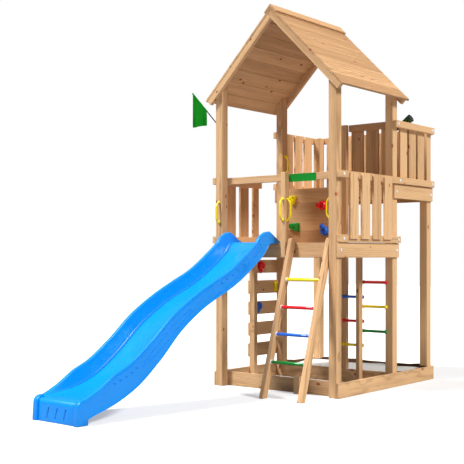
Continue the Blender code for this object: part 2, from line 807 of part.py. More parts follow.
def slide_skirt(y):
    """How far the outer skirt hangs below the bed, square to it."""
    run = -y
    return smooth_value([(-0.14, 0.006), (-0.02, 0.006), (0.08, 0.018), (1.0, 0.030), (1.7, 0.065), (2.1, 0.105),
                         (2.35, 0.150), (2.46, 0.185)], run)


def slide_section(wall, skirt):
    """Half of the section's outer face as (outwards, upwards) points, from the bed's middle to the hem."""
    bend = min(0.022, wall * 0.5)
    crest = SLIDE_HALF_CREST
    return [
        (0.0, 0.0),
        (SLIDE_HALF_BED * 0.5, 0.0),
        (SLIDE_HALF_BED - 0.012, 0.0),
        (SLIDE_HALF_BED, bend * 0.2),
        (SLIDE_HALF_BED + 0.008, bend * 0.9),
        (SLIDE_HALF_BED + 0.016, bend + (wall - bend) * 0.55),
        (crest - 0.016, bend + (wall - bend) * 0.88),
        (crest - 0.010, wall * 0.985),
        (crest, wall),
        (crest + 0.012, wall * 0.985),
        (crest + 0.018, wall - min(0.014, (wall + skirt) * 0.2)),
        (crest + 0.0185, (wall - skirt) / 2),
        (SLIDE_HALF_WIDTH - 0.004, -skirt * 0.8),
        (SLIDE_HALF_WIDTH, -skirt),
    ]


def slide_inner(section):
    """The same section moved in by the skin's thickness, point for point."""
    skin = SLIDE_SKIN
    shifts = [(0, -1), (0, -1), (0, -1), (0.4, -1), (0.9, -0.7), (1, -0.4), (0.8, -0.8), (0.4, -1), (0, -1),
              (-0.5, -1), (-1, -0.6), (-1, 0), (-1, 0), (-1, 0)]
    return [(out + skin * a, high + skin * b) for (out, high), (a, b) in zip(section, shifts)]


def section_ring(y):
    """The closed section at a distance y: outer points to the hem, then inner points back to the middle."""
    slope = (slide_bed(y + 0.01) - slide_bed(y - 0.01)) / 0.02
    up = Vector((0, -slope, 1)).normalized()
    middle = Vector((0, y, slide_bed(y)))
    section = slide_section(slide_wall(y), slide_skirt(y))
    ring = []
    for out, high in section + slide_inner(section)[::-1]:
        point = middle + up * high
        ring.append(Vector((out, point.y, max(point.z, GROUND_LIFT))))
    return ring


def make_slide(parts):
    """The moulded wave slide: half of a thin section lofted down the bed line, mirrored, with its foot."""
    stations = [SLIDE_BACK]
    for step in [0.045, 0.045, 0.04, 0.04, 0.035, 0.045, 0.06] + [0.115] * 18 + [0.07, 0.05, 0.05, 0.045, 0.035]:
        stations.append(stations[-1] - step)
    shape = bmesh.new()
    rows = [[shape.verts.new(point) for point in section_ring(y)] for y in stations]
    for upper, lower in zip(rows, rows[1:]):
        for i in range(len(upper) - 1):
            shape.faces.new((upper[i], lower[i], lower[i + 1], upper[i + 1]))
    half = len(rows[0]) // 2
    for row in (rows[0], rows[-1]):
        for i in range(half - 1):
            corners = (row[i], row[i + 1], row[-2 - i], row[-1 - i])
            shape.faces.new(corners if row is rows[0] else corners[::-1])
    bmesh.ops.recalc_face_normals(shape, faces=shape.faces)
    mesh = bpy.data.meshes.new("channel")
    shape.to_mesh(mesh)
    shape.free()
    channel = new_object("channel", mesh, parts)
    channel.location = (SLIDE_X, 0, 0)
    mirror = channel.modifiers.new("other_half", "MIRROR")
    mirror.merge_threshold = 0.0001

    foot = timber("foot", parts, (SLIDE_X - 0.2758, SLIDE_X + 0.2758), (SLIDE_FOOT - HALF_GAP, SLIDE_FOOT + 0.095),
                  (0, 0.1898), edge=0)
    set_bevel(foot, 0.024, segments=3)
    grooves = []
    for lean in (-0.10, 0.0, 0.10):
        middle = SLIDE_X + lean * 0.9
        groove = tube("groove", [(middle - lean * 0.10, SLIDE_FOOT, 0.050), (middle + lean * 0.25, SLIDE_FOOT, 0.150)],
                      0.006, parts)
        grooves.append(groove)
    slide = joined("slide", [channel, foot], parts, grooves)
    finish(slide, parts, (0.0, 0.28, 0.95), 0.25, smooth=True)


def roof_point(side, along, depth):
    """A point of the roof's section: distance down the slope from the ridge, depth under the top face."""
    x = (along - depth) / math.sqrt(2)
    z = RIDGE_Z - (along + depth) / math.sqrt(2)
    return (RIDGE_X + side * x, z)


def sloped_piece(name, parts, side, along, depth, y):
    """A timber with its section in x and z given by the slope, running from one y to another."""
    (a0, a1), (d0, d1) = along, depth
    points = [roof_point(side, a0, d0), roof_point(side, a1, d0), roof_point(side, a1, d1), roof_point(side, a0, d1)]
    if side > 0:
        points.reverse()
    item = outline(name, points, y[1] - y[0] - 2 * HALF_GAP, parts)
    item.rotation_euler = (math.radians(90), 0, 0)
    item.location = (0, (y[0] + y[1]) / 2, 0)
    return item


def make_roof(parts):
    """Each slope is boards fixed to a front and a rear rafter; two ridge boards cover the joint."""
    slope = EAVE_DROP * math.sqrt(2)
    under = ROOF_BOARD - BITE
    low = ROOF_BOARD + RAFTER_DEPTH
    pitch = slope / ROOF_BOARD_COUNT
    for name, side in (("roof_right", 1), ("roof_left", -1)):
        head = ROOF_BOARD + 0.0006 if side > 0 else low + 0.0006
        pieces = []
        for y in ((RAFTER_FRONT, 0.0), (RAFTER_BACK, RAFTER_BACK + RAIL)):
            pieces.append(sloped_piece("rafter", parts, side, (head, slope - 0.012), (under, low), y))
        for i in range(ROOF_BOARD_COUNT):
            start = i * pitch + 0.0015
            if i == 0:
                start = 0.0 if side > 0 else ROOF_BOARD + 0.0006
            depth = (HALF_GAP, ROOF_BOARD - HALF_GAP)
            pieces.append(sloped_piece("board", parts, side, (start, (i + 1) * pitch - 0.0015), depth,
                                       (ROOF_FRONT, ROOF_BACK)))
        finish(joined(name, pieces, parts), parts, WOOD_PALE)
    ridge_y = (ROOF_FRONT - 0.003, ROOF_BACK - 0.004)
    depth = (-ROOF_BOARD - HALF_GAP, -HALF_GAP)
    ridge = [
        sloped_piece("ridge", parts, 1, (-ROOF_BOARD, 0.088), depth, ridge_y),
        sloped_piece("ridge", parts, -1, (-BITE - HALF_GAP, 0.088), depth, ridge_y),
    ]
    cap = joined("ridge_cap", ridge, parts)
    finish(cap, parts, WOOD_PALE)


def make_telescope(parts):
    """A toy telescope: a bracket on a lookout plank, a yoke that pans and a flared tube that tilts."""
    face = TOWER_WIDTH - BOARD + 2 * BITE - HALF_GAP
    plate = timber("plate", parts, (face - 0.010 - HALF_GAP, face + HALF_GAP), (PIVOT_Y - 0.016, PIVOT_Y + 0.064),
                   (2.580, 2.680))
    arm = timber("arm", parts, (PIVOT_X - 0.012, face - 0.002), (PIVOT_Y - 0.014, PIVOT_Y + 0.014),
                 (2.612, 2.634), edge=0)
    hub_foot = HUB_TOP - HUB_HEIGHT
    hub = turned("hub", [(0.0, HUB_TOP), (0.020, HUB_TOP), (0.022, HUB_TOP - 0.004), (0.022, hub_foot + 0.004),
                         (0.018, hub_foot), (0.0, hub_foot)], parts, sides=20)
    hub.location = (PIVOT_X, PIVOT_Y, 0)
    bracket = joined("telescope_bracket", [plate, arm, hub], parts)
    finish(bracket, parts, (0.015, 0.02, 0.018), 0.45, smooth=True)

    pan_z = HUB_TOP + 2 * HALF_GAP
    reach = CHEEK_GAP + CHEEK + BITE
    corners = [(-YOKE_HALF, -reach), (YOKE_HALF, -reach), (YOKE_HALF, reach), (-YOKE_HALF, reach)]
    base = outline("base", rounded_corners(corners, 0.003), YOKE_FOOT, parts)
    base.location = (PIVOT_X, PIVOT_Y, pan_z + YOKE_FOOT / 2)
    shapes = [base]
    for side in (-1, 1):
        y = PIVOT_Y + side * (CHEEK_GAP + CHEEK / 2)
        points = [(-0.016, pan_z + 0.002), (0.016, pan_z + 0.002)]
        points += arc(0.0, PIVOT_Z, 0.014, 0, 180, 8)
        wing = outline("cheek", points, CHEEK, parts)
        wing.rotation_euler = (math.radians(90), 0, 0)
        wing.location = (PIVOT_X, y, 0)
        shapes.append(wing)
        inner = y - side * CHEEK / 2
        stub = turned("stub", [(0.0, 0.006), (0.006, 0.006), (0.006, -0.004), (0.0, -0.004)], parts, sides=12)
        stub.rotation_euler = (math.radians(90) * side, 0, 0)
        stub.location = (PIVOT_X, inner, PIVOT_Z)
        shapes.append(stub)
    yoke = joined("telescope_yoke", shapes, parts)
    yoke = move_origin(yoke, Vector((PIVOT_X, PIVOT_Y, pan_z)))
    finish(yoke, parts, (0.015, 0.02, 0.018), 0.45, smooth=True)

    profile = [
        (0.0, 0.102),
        (0.033, 0.102),
        (0.035, 0.112),
        (0.042, 0.112),
        (0.043, 0.108),
        (0.043, 0.078),
        (0.040, 0.072),
        (0.0295, 0.000),
        (0.0255, -0.070),
        (0.0225, -0.072),
        (0.021, -0.140),
        (0.024, -0.146),
        (0.024, -0.160),
        (0.021, -0.164),
        (0.015, -0.164),
        (0.013, -0.156),
        (0.0, -0.156),
    ]
    barrel = turned("barrel", profile, parts, sides=24)
    barrel.rotation_euler = (0, math.radians(90) - TELESCOPE_TILT, 0)
    barrel.location = (PIVOT_X, PIVOT_Y, PIVOT_Z)
    sockets = []
    bosses = []
    for side in (-1, 1):
        boss = turned("boss", [(0.0, 0.034), (0.013, 0.034), (0.013, 0.014), (0.0, 0.014)], parts, sides=16)
        boss.rotation_euler = (-math.radians(90) * side, 0, 0)
        boss.location = (PIVOT_X, PIVOT_Y, PIVOT_Z)
        bosses.append(boss)
        socket = turned("socket", [(0.0, 0.040), (0.0065, 0.040), (0.0065, 0.0275), (0.0, 0.0275)], parts, sides=12)
        socket.rotation_euler = (-math.radians(90) * side, 0, 0)
        socket.location = (PIVOT_X, PIVOT_Y, PIVOT_Z)
        sockets.append(socket)
    scope = joined("telescope_tube", [barrel] + bosses, parts, sockets)
    scope = move_origin(scope, Vector((PIVOT_X, PIVOT_Y, PIVOT_Z)))
    finish(scope, parts, (0.005, 0.13, 0.02), 0.3, smooth=True)


def move_origin(item, point):
    """Put a mesh object's origin on a point without moving the shape."""
    item.data.transform(Matrix.Translation(-point))
    item.location = point
    return item


def pole_z(x):
    """Height of the flag pole's middle line at a distance out from the post."""
    return POLE_FOOT_Z - POLE_SLOPE * x


def make_flag(parts):
    """A thin slanting pole with a four-sided cloth hung under it."""
    lean = math.atan2(1, POLE_SLOPE)
    pole = tube("pole", [(-0.006, FLAG_Y, pole_z(-0.006)), (-0.2, FLAG_Y, pole_z(-0.2)),
                         (FLAG_OUTER - 0.003, FLAG_Y, pole_z(FLAG_OUTER - 0.003))], POLE_RADIUS, parts)
    foot = turned("foot", [(0.0, 0.012), (0.012, 0.010), (0.014, 0.004), (0.014, 0.0), (0.0, 0.0)], parts, sides=16)
    foot.rotation_euler = (0, math.radians(-90), 0)
    foot.location = (-HALF_GAP, FLAG_Y, POLE_FOOT_Z + 0.003)
    finish(joined("flag_pole", [pole, foot], parts), parts, (0.03, 0.03, 0.03), 0.4, 0.3, smooth=True)

    columns = 12
    rows = 6
    under = (POLE_RADIUS + 0.0018) / math.sin(lean)
    shape = bmesh.new()
    grid = []
    for i in range(columns + 1):
        u = i / columns
        x = FLAG_INNER + (FLAG_OUTER - FLAG_INNER) * u
        top = pole_z(x) - under
        bottom = 2.724 - 0.008 * u
        line = []
        for j in range(rows + 1):
            v = j / rows
            hang = v ** 0.7
            fold = 0.009 * hang * math.sin(math.tau * (1.35 * u + 0.1)) + 0.003 * hang * math.sin(math.tau * 2.7 * u)
            line.append(shape.verts.new((x, FLAG_Y + fold, top + (bottom - top) * v)))
        grid.append(line)
    for a, b in zip(grid, grid[1:]):
        for j in range(rows):
            shape.faces.new((a[j], a[j + 1], b[j + 1], b[j]))
    mesh = bpy.data.meshes.new("flag")
    shape.to_mesh(mesh)
    shape.free()
    flag = new_object("flag", mesh, parts)
    cloth = flag.modifiers.new("cloth", "SOLIDIFY")
    cloth.thickness = 0.0025
    cloth.offset = 0.0
    finish(flag, parts, (0.0, 0.28, 0.01), 0.8, smooth=True)


def sand_height(x, y):
    """Gently mounded sand."""
    wave = 0.010 * math.sin(7.1 * x + 2.3 * y + 0.4) * math.sin(6.3 * y - 1.9 * x)
    wave += 0.005 * math.sin(17.0 * x - 9.0 * y) * math.cos(13.0 * y + 4.0 * x)
    return 0.119 + wave


def make_sandpit(parts):
    """Sand in the rear half, and the dark ground cloth that shows above it along the boards."""
    columns = 26
    rows = 14
    x0, x1 = 0.012, TOWER_WIDTH - 0.012
    y0, y1 = 1.0755, FULL_DEPTH - 0.012
    shape = bmesh.new()
    grid = []
    for j in range(rows + 1):
        y = y0 + (y1 - y0) * j / rows
        line = []
        for i in range(columns + 1):
            x = x0 + (x1 - x0) * i / columns
            line.append(shape.verts.new((x, y, sand_height(x, y))))
        grid.append(line)
    for a, b in zip(grid, grid[1:]):
        for i in range(columns):
            shape.faces.new((a[i], a[i + 1], b[i + 1], b[i]))
    base = bmesh.ops.extrude_face_region(shape, geom=list(shape.faces))
    for item in base["geom"]:
        if isinstance(item, bmesh.types.BMVert):
            item.co.z = 0.0
    lower = [face for face in shape.faces if all(vert.co.z == 0.0 for vert in face.verts)]
    bmesh.ops.dissolve_faces(shape, faces=lower)
    bmesh.ops.recalc_face_normals(shape, faces=shape.faces)
    mesh = bpy.data.meshes.new("sand")
    shape.to_mesh(mesh)
    shape.free()
    heap = new_object("heap", mesh, parts)
    cutters = []
    right = TOWER_WIDTH - POST
    rear = FULL_DEPTH - POST
    for x in (0.0, right):
        for y, margin in ((LOWER_DEPTH - POST, 0.0006), (rear, 0.0105)):
            cutters.append(timber("corner", parts, (x - margin, x + POST + margin), (y - margin, y + POST + margin),
                                  (-0.05, 0.30), edge=0))
    margin = 0.0006
    cutters.append(timber("corner", parts, (0.860 - margin, 0.930 + margin), (1.050, 1.097 + margin),
                          (BOARD_WIDTH - margin, 0.30), edge=0))
    sand = joined("sand", [heap], parts, cutters)
    finish(sand, parts, (0.78, 0.77, 0.74), 0.95)

    near = 0.005
    route = [
        (near, LOWER_DEPTH + 0.001),
        (near, rear - near),
        (POST + near, rear - near),
        (POST + near, FULL_DEPTH - near),
        (right - near, FULL_DEPTH - near),
        (right - near, rear - near),
        (TOWER_WIDTH - near, rear - near),
        (TOWER_WIDTH - near, LOWER_DEPTH + 0.001),
    ]
    finish(cloth_strip("sand_liner", parts, route), parts, (0.045, 0.028, 0.018), 0.9)


def cloth_strip(name, parts, route):
    """A standing strip of ground cloth round the sand, with shallow folds and a wavy top hem."""
    spacing = 0.024
    fold = 0.0022
    spots = []
    walked = 0.0
    for start, end in zip(route, route[1:]):
        run = Vector(end) - Vector(start)
        side = Vector((-run.y, run.x)).normalized()
        count = max(2, round(run.length / spacing))
        waves = max(1, count // 4)
        for i in range(count):
            u = i / count
            sway = side * fold * math.sin(math.tau * waves * u)
            spots.append((Vector(start) + run * u + sway, walked + run.length * u))
        walked += run.length
    spots.append((Vector(route[-1]), walked))
    shape = bmesh.new()
    low, high = [], []
    for spot, along in spots:
        hem = 0.152 + 0.010 * math.sin(6.1 * along + 1.0) + 0.006 * math.sin(15.7 * along)
        low.append(shape.verts.new((spot.x, spot.y, 0.0005)))
        high.append(shape.verts.new((spot.x, spot.y, hem)))
    for i in range(len(spots) - 1):
        shape.faces.new((low[i], low[i + 1], high[i + 1], high[i]))
    mesh = bpy.data.meshes.new(name)
    shape.to_mesh(mesh)
    shape.free()
    strip = new_object(name, mesh, parts)
    cloth = strip.modifiers.new("cloth", "SOLIDIFY")
    cloth.thickness = 0.0016
    cloth.offset = 0.0
    return strip


def centre_tower(parts):
    """Hang every part on an empty that moves the tower's footprint to the origin."""
    hanger = bpy.data.objects.new("tower_centre", None)
    parts.objects.link(hanger)
    hanger.location = (-sum(X_EXTENT) / 2, -sum(Y_EXTENT) / 2, 0)
    for item in list(parts.objects):
        if item is not hanger:
            item.parent = hanger


def print_extents(parts):
    """Print the finished size, so that the named extents can be checked against it."""
    bpy.context.view_layer.update()
    depsgraph = bpy.context.evaluated_depsgraph_get()
    low = Vector((1e9, 1e9, 1e9))
    high = -low
    for item in parts.objects:
        if item.type == "EMPTY":
            continue
        mesh = bpy.data.meshes.new_from_object(item.evaluated_get(depsgraph))
        for vertex in mesh.vertices:
            point = item.matrix_world @ vertex.co
            low = Vector(map(min, low, point))
            high = Vector(map(max, high, point))
    print("low", [round(v, 5) for v in low], "high", [round(v, 5) for v in high])


def main():
    clear_scene()
    parts = bpy.data.collections.new("play_tower")
    bpy.context.scene.collection.children.link(parts)
    make_posts(parts)
    make_studs(parts)
    make_base(parts)
    make_lower_deck(parts)
    make_upper_deck(parts)
    make_lower_fences(parts)
    make_lookout_fence(parts)
    make_climbing_walls(parts)
    make_holds(parts)
    make_ladder(parts)
    make_under_deck_rungs(parts)
    make_handles(parts)
    make_slide(parts)
    make_roof(parts)
    make_telescope(parts)
    make_flag(parts)
    make_sandpit(parts)
    centre_tower(parts)
    print_extents(parts)


main()
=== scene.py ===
"""Finish of the wooden play tower: its timber, mouldings, cloth and small fastenings."""

import math

import bmesh
import bpy
from bpy.props import FloatProperty, FloatVectorProperty, IntProperty, PointerProperty
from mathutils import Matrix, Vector


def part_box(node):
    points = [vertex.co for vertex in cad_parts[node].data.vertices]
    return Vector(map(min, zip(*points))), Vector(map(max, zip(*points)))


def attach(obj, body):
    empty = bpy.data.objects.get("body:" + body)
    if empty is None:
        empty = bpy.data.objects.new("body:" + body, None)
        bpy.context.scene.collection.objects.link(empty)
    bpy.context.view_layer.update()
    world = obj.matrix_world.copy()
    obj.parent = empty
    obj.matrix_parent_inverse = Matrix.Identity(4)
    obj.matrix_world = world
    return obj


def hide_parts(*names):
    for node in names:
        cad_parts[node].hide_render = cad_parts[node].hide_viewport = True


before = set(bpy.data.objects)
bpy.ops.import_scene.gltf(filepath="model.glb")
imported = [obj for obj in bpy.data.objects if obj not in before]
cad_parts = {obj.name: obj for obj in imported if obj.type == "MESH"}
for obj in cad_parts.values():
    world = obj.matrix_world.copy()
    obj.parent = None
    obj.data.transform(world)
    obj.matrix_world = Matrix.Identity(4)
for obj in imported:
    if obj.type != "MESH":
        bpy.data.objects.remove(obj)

bl_info = {
    "name": "Play Tower Finish",
    "version": (1, 0, 0),
    "blender": (4, 5, 0),
    "location": "View3D > Sidebar > Play Tower",
    "description": "Timber, mouldings, cloth and fastenings of a play tower with a wave slide",
    "category": "Object",
}

# The tower's own zero point: the outer ground corner of the front left post
HALF_GAP = 0.00015
SEAM = 0.0008
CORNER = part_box("post_front_left")[0] - Vector((HALF_GAP, HALF_GAP, 0))

WIDTH = 1.492
POST = 0.090
BOARD = 0.022
RAIL = 0.045
LOWER_DECK = 1.475
UPPER_DECK = 2.084
LOWER_DEPTH = 1.142
FULL_DEPTH = 1.878
RIDGE_X = WIDTH / 2
RIDGE_Z = 3.809
ROOF_BOARD = 0.020
ROOF_PITCH = 0.847 * math.sqrt(2) / 8
LADDER_RUN = 0.3125
LADDER_FOOT_Y = -0.407
LADDER_INSIDE = (0.955, 1.350)
SLIDE_X = 0.465
SLIDE_TOP = LOWER_DECK + 0.008
SLIDE_BACK = 0.140
SLIDE_END = -2.470
SLIDE_FOOT = -2.550
SLIDE_HALF_BED = 0.2125
SLIDE_HALF_CREST = 0.250
SLIDE_HALF_WIDTH = 0.275
PIVOT = Vector((1.415, 1.400, 2.745))
TELESCOPE_TILT = 30
FLAG_Y = 0.045
FLAG_INNER = -0.163
FLAG_OUTER = -0.360
POLE_FOOT_Z = 2.706
POLE_SLOPE = 1.035
POLE_RADIUS = 0.006
SLOPE_STEP = 0.01
NEAR = 0.001
# Heights of a fence's lower and upper rails, and a height below both
PLATFORM_RAILS = (1.513, 2.123, 1.0)
LOOKOUT_RAILS = (2.123, 2.705, 1.6)
RAIL_SPLIT = 0.7
JOIST_PITCH = 0.30
RING_PITCH = 0.0125
KNOTS_ALONG = 4.4
KNOTS_ACROSS = 7.6
FIBRES_ACROSS = 210.0
# How much late wood, fibres, broad streaks and each board's own tone darken the wood, and what all have
LATE_SHARE, FIBRE_SHARE, BROAD_SHARE, BOARD_SHARE, BASE_SHARE = 0.56, 1.40, 1.45, 0.75, 0.10
# Timbers painted deeper or paler than the rest, the share of late wood more or less: deeper values are painted shade
# on timbers in the tower's dark inside (roof, ridge, inner panel, fences and deck), partly also a darker batch of
# boards; paler values are painted light on the front right post, the right fence and the climbing wall
TIMBER_SHADE_LIGHT_AND_TONE = {
    "roof_left": 0.10, "roof_right": 0.46, "ridge_cap": 0.30, "partition_panel": 0.44, "lookout_fence_front": 0.30,
    "lookout_fence_rear": 0.30, "fence_left": 0.24, "lower_deck": 0.12, "post_front_right": -0.14,
    "fence_right": -0.14, "climbing_wall": -0.20}
HUES = ("yellow", "red", "blue", "green")
GREEN_CLOTH = (0.0, 0.22, 0.004)
GREEN_BARREL = (0.004, 0.105, 0.018)
GREEN_PLATE = (0.0, 0.26, 0.02)
BLACK = (0.012, 0.014, 0.014)
POLE_BLACK = (0.012, 0.012, 0.014)
LENS_BLACK = (0.02, 0.025, 0.03)
CAP_WHITE = (0.88, 0.90, 0.92)
# The lights: name, strength and turn in degrees
LIGHTS = (("key", 4.2, (35, 0, -34)), ("side", 2.9, (50, 0, 86)))
LIGHT_SPREAD = 14
SKY_STRENGTH = 0.20
FLAG_THICK = 0.0012
LINER_THICK = 0.0014
CAMERA_PLACE = (5.8102, -7.2277, 1.3549)
CAMERA_TURN = 39.44
CAMERA_LENS = 73.8
CAMERA_SHIFT = 0.0497


def at(x, y, z):
    """A point given in the tower's own coordinates, in the frame's."""
    return Vector((x, y, z)) + CORNER


def toned(colour, factor, lift=0.0):
    """A colour made deeper or paler."""
    return tuple(min(1.0, c * factor + lift) for c in colour)


def grey(tone):
    return tone, tone, tone


def length_of(name, text, default, low, high):
    """A length for the sidebar."""
    return FloatProperty(name=name, description=text, default=default, min=low, max=high, unit="LENGTH")


def colour_of(name, text, default):
    """A colour for the sidebar."""
    return FloatVectorProperty(name=name, description=text, subtype="COLOR", size=3, default=default, min=0, max=1)


class TowerSizes(bpy.types.PropertyGroup):
    """Sizes of the pieces added to the tower"""

    cap_radius: length_of("Bolt Cap Radius", "Radius of a bolt cap", 0.0145, 0.005, 0.03)
    cap_height: length_of("Bolt Cap Height", "How far a bolt cap stands out", 0.007, 0.002, 0.02)
    collar_radius: length_of("Rung Collar Radius", "Radius of the collar at a rung's end", 0.0225, 0.016, 0.035)
    rung_radius: length_of("Rung Radius", "Radius of the ladder's rungs", 0.016, 0.008, 0.03)
    grip_radius: length_of("Grip Radius", "Radius of a grab handle's bar", 0.009, 0.005, 0.02)
    slide_skin: length_of("Slide Skin", "Thickness of the slide's moulded skin", 0.008, 0.006, 0.01)
    slide_steps: IntProperty(name="Slide Steps", description="Stations along the slide", default=110, min=30,
                             max=200)


class TowerColours(bpy.types.PropertyGroup):
    """Colours of the tower's finishes"""

    timber: colour_of("Timber", "Early wood of the planed timber", (0.78, 0.48, 0.24))
    timber_dark: colour_of("Late Wood", "Darker bands of the grain", (0.44, 0.24, 0.110))
    knot: colour_of("Knots", "Heart of a knot", (0.24, 0.048, 0.020))
    yellow: colour_of("Yellow", "Yellow mouldings", (1.0, 0.78, 0.0))
    red: colour_of("Red", "Red mouldings", (0.80, 0.005, 0.008))
    blue: colour_of("Blue", "Blue mouldings", (0.015, 0.14, 0.70))
    green: colour_of("Green", "Green mouldings", (0.0, 0.21, 0.02))
    slide: colour_of("Slide", "The slide's moulding", (0.0, 0.27, 0.86))
    sand: colour_of("Sand", "Dry sand", (0.74, 0.73, 0.70))
    liner: colour_of("Ground Cloth", "Cloth round the sand", (0.105, 0.056, 0.030))


class Wire:
    """A socket of a shader: arithmetic on it adds Math nodes."""

    def __init__(self, paint, socket):
        self.paint = paint
        self.socket = socket

    def use(self, operation, *others):
        return self.paint.math(operation, self, *others)

    def __add__(self, other):
        return self.use("ADD", other)

    __radd__ = __add__

    def __sub__(self, other):
        return self.use("SUBTRACT", other)

    def __rsub__(self, other):
        return self.paint.math("SUBTRACT", other, self)

    def __mul__(self, other):
        return self.use("MULTIPLY", other)

    __rmul__ = __mul__

    def __truediv__(self, other):
        return self.use("DIVIDE", other)

    def __pow__(self, other):
        return self.use("POWER", other)

    def __abs__(self):
        return self.use("ABSOLUTE")

    def __lt__(self, other):
        return self.use("LESS_THAN", other)

    def __gt__(self, other):
        return self.use("GREATER_THAN", other)


class Paint:
    """A material whose nodes are written as expressions."""

    def __init__(self, name):
        self.material = bpy.data.materials.new(name)
        self.material.use_nodes = True
        self.tree = self.material.node_tree
        self.shader = self.tree.nodes["Principled BSDF"]

    def node(self, kind, settings=None, sockets=None):
        """Add a node: its settings first, then the values or links of its sockets."""
        made = self.tree.nodes.new(kind)
        for key, value in (settings or {}).items():
            setattr(made, key, value)
        for key, value in (sockets or {}).items():
            self.feed(made.inputs[key], value)
        return made

    def wire(self, kind, settings=None, sockets=None, output=0):
        """Add a node for one of its outputs."""
        return Wire(self, self.node(kind, settings, sockets).outputs[output])

    def feed(self, socket, value):
        """Link a wire to a socket, or set its value."""
        if isinstance(value, Wire):
            self.tree.links.new(value.socket, socket)
        else:
            socket.default_value = value

    def math(self, operation, *values):
        return self.wire("ShaderNodeMath", {"operation": operation}, dict(enumerate(values)))

    def tower(self):
        """Wires of x, y and z in the tower's own coordinates."""
        place = self.wire("ShaderNodeTexCoord", output="Object")
        split = self.node("ShaderNodeSeparateXYZ", None, {0: place})
        return tuple(Wire(self, split.outputs[i]) - CORNER[i] for i in range(3))

    def vector(self, x, y, z):
        return self.wire("ShaderNodeCombineXYZ", None, {0: x, 1: y, 2: z})

    def noise(self, place, scale, detail=2.0, roughness=0.5):
        return self.wire("ShaderNodeTexNoise", {"noise_dimensions": "3D"},
                         {"Vector": place, "Scale": scale, "Detail": detail, "Roughness": roughness})

    def cells(self, place, scale):
        """Distance to the nearest of scattered points."""
        return self.wire("ShaderNodeTexVoronoi", {"feature": "F1"}, {"Vector": place, "Scale": scale}, "Distance")

    def chance(self, number):
        """Three random values that belong to a number."""
        made = self.wire("ShaderNodeTexWhiteNoise", {"noise_dimensions": "1D"}, {"W": number}, "Color")
        split = self.node("ShaderNodeSeparateColor", None, {0: made})
        return tuple(Wire(self, split.outputs[i]) for i in range(3))

    def step(self, value, low, high):
        """A soft step from 0 at low to 1 at high."""
        return self.wire("ShaderNodeMapRange", {"interpolation_type": "SMOOTHSTEP"},
                         {"Value": value, "From Min": low, "From Max": high})

    def mix(self, share, first, second):
        """Two colours mixed."""
        ends = [value if isinstance(value, Wire) else (*value, 1.0) for value in (first, second)]
        return self.wire("ShaderNodeMix", {"data_type": "RGBA"}, {0: share, 6: ends[0], 7: ends[1]}, 2)

    def bump(self, height, strength, distance):
        sockets = {"Height": height, "Strength": strength, "Distance": distance}
        self.feed(self.shader.inputs["Normal"], self.wire("ShaderNodeBump", None, sockets))

    def finish(self, colour, roughness, **fixed):
        """Feed the shader: colour and roughness, and plain values on its other sockets."""
        self.feed(self.shader.inputs["Base Color"], colour)
        self.feed(self.shader.inputs["Roughness"], roughness)
        for key, value in fixed.items():
            self.shader.inputs[key.replace("_", " ").title().replace("Ior", "IOR")].default_value = value
        return self.material


class Run:
    """Timbers of one node whose grain runs one way: where they are, and what tells one from the next."""

    def __init__(self, grain, where=None, board=None):
        self.grain = grain
        self.where = where
        self.board = board

    def lay(self, x, y, z):
        """Coordinates along the grain and across it."""
        if self.grain == "lean":
            return z, x, y - LADDER_RUN * z
        if self.grain == "slope":
            return (abs(x - RIDGE_X) - z), y, abs(x - RIDGE_X) + z
        return {"x": (x, y, z), "y": (y, x, z), "z": (z, x, y)}[self.grain]


def every(axis, start, pitch):
    """A number for each board of a row laid at a steady pitch."""
    def number(*place):
        return ((place["xyz".index(axis)] - start) / pitch).use("FLOOR")
    return number


def planks(axis, seam, side, rails):
    """Where a fence's planks are: past the seam with the rails, and up to it between the rails."""
    middle, half = (rails[0] + rails[1]) / 2, (rails[1] - rails[0]) / 2 - RAIL

    def where(x, y, z):
        past = ((x, y)["xy".index(axis)] - seam) * side
        return (past > SEAM).use("MAXIMUM", (past > -SEAM) * (abs(z - middle) < half))
    return where


def roof_depth(x, y, z):
    """Distance below the roof's top face."""
    return (RIDGE_Z - z - abs(x - RIDGE_X)) / math.sqrt(2)


def roof_course(x, y, z):
    """Which board down the slope."""
    return (((RIDGE_Z - z) + abs(x - RIDGE_X)) / (math.sqrt(2) * ROOF_PITCH)).use("FLOOR")


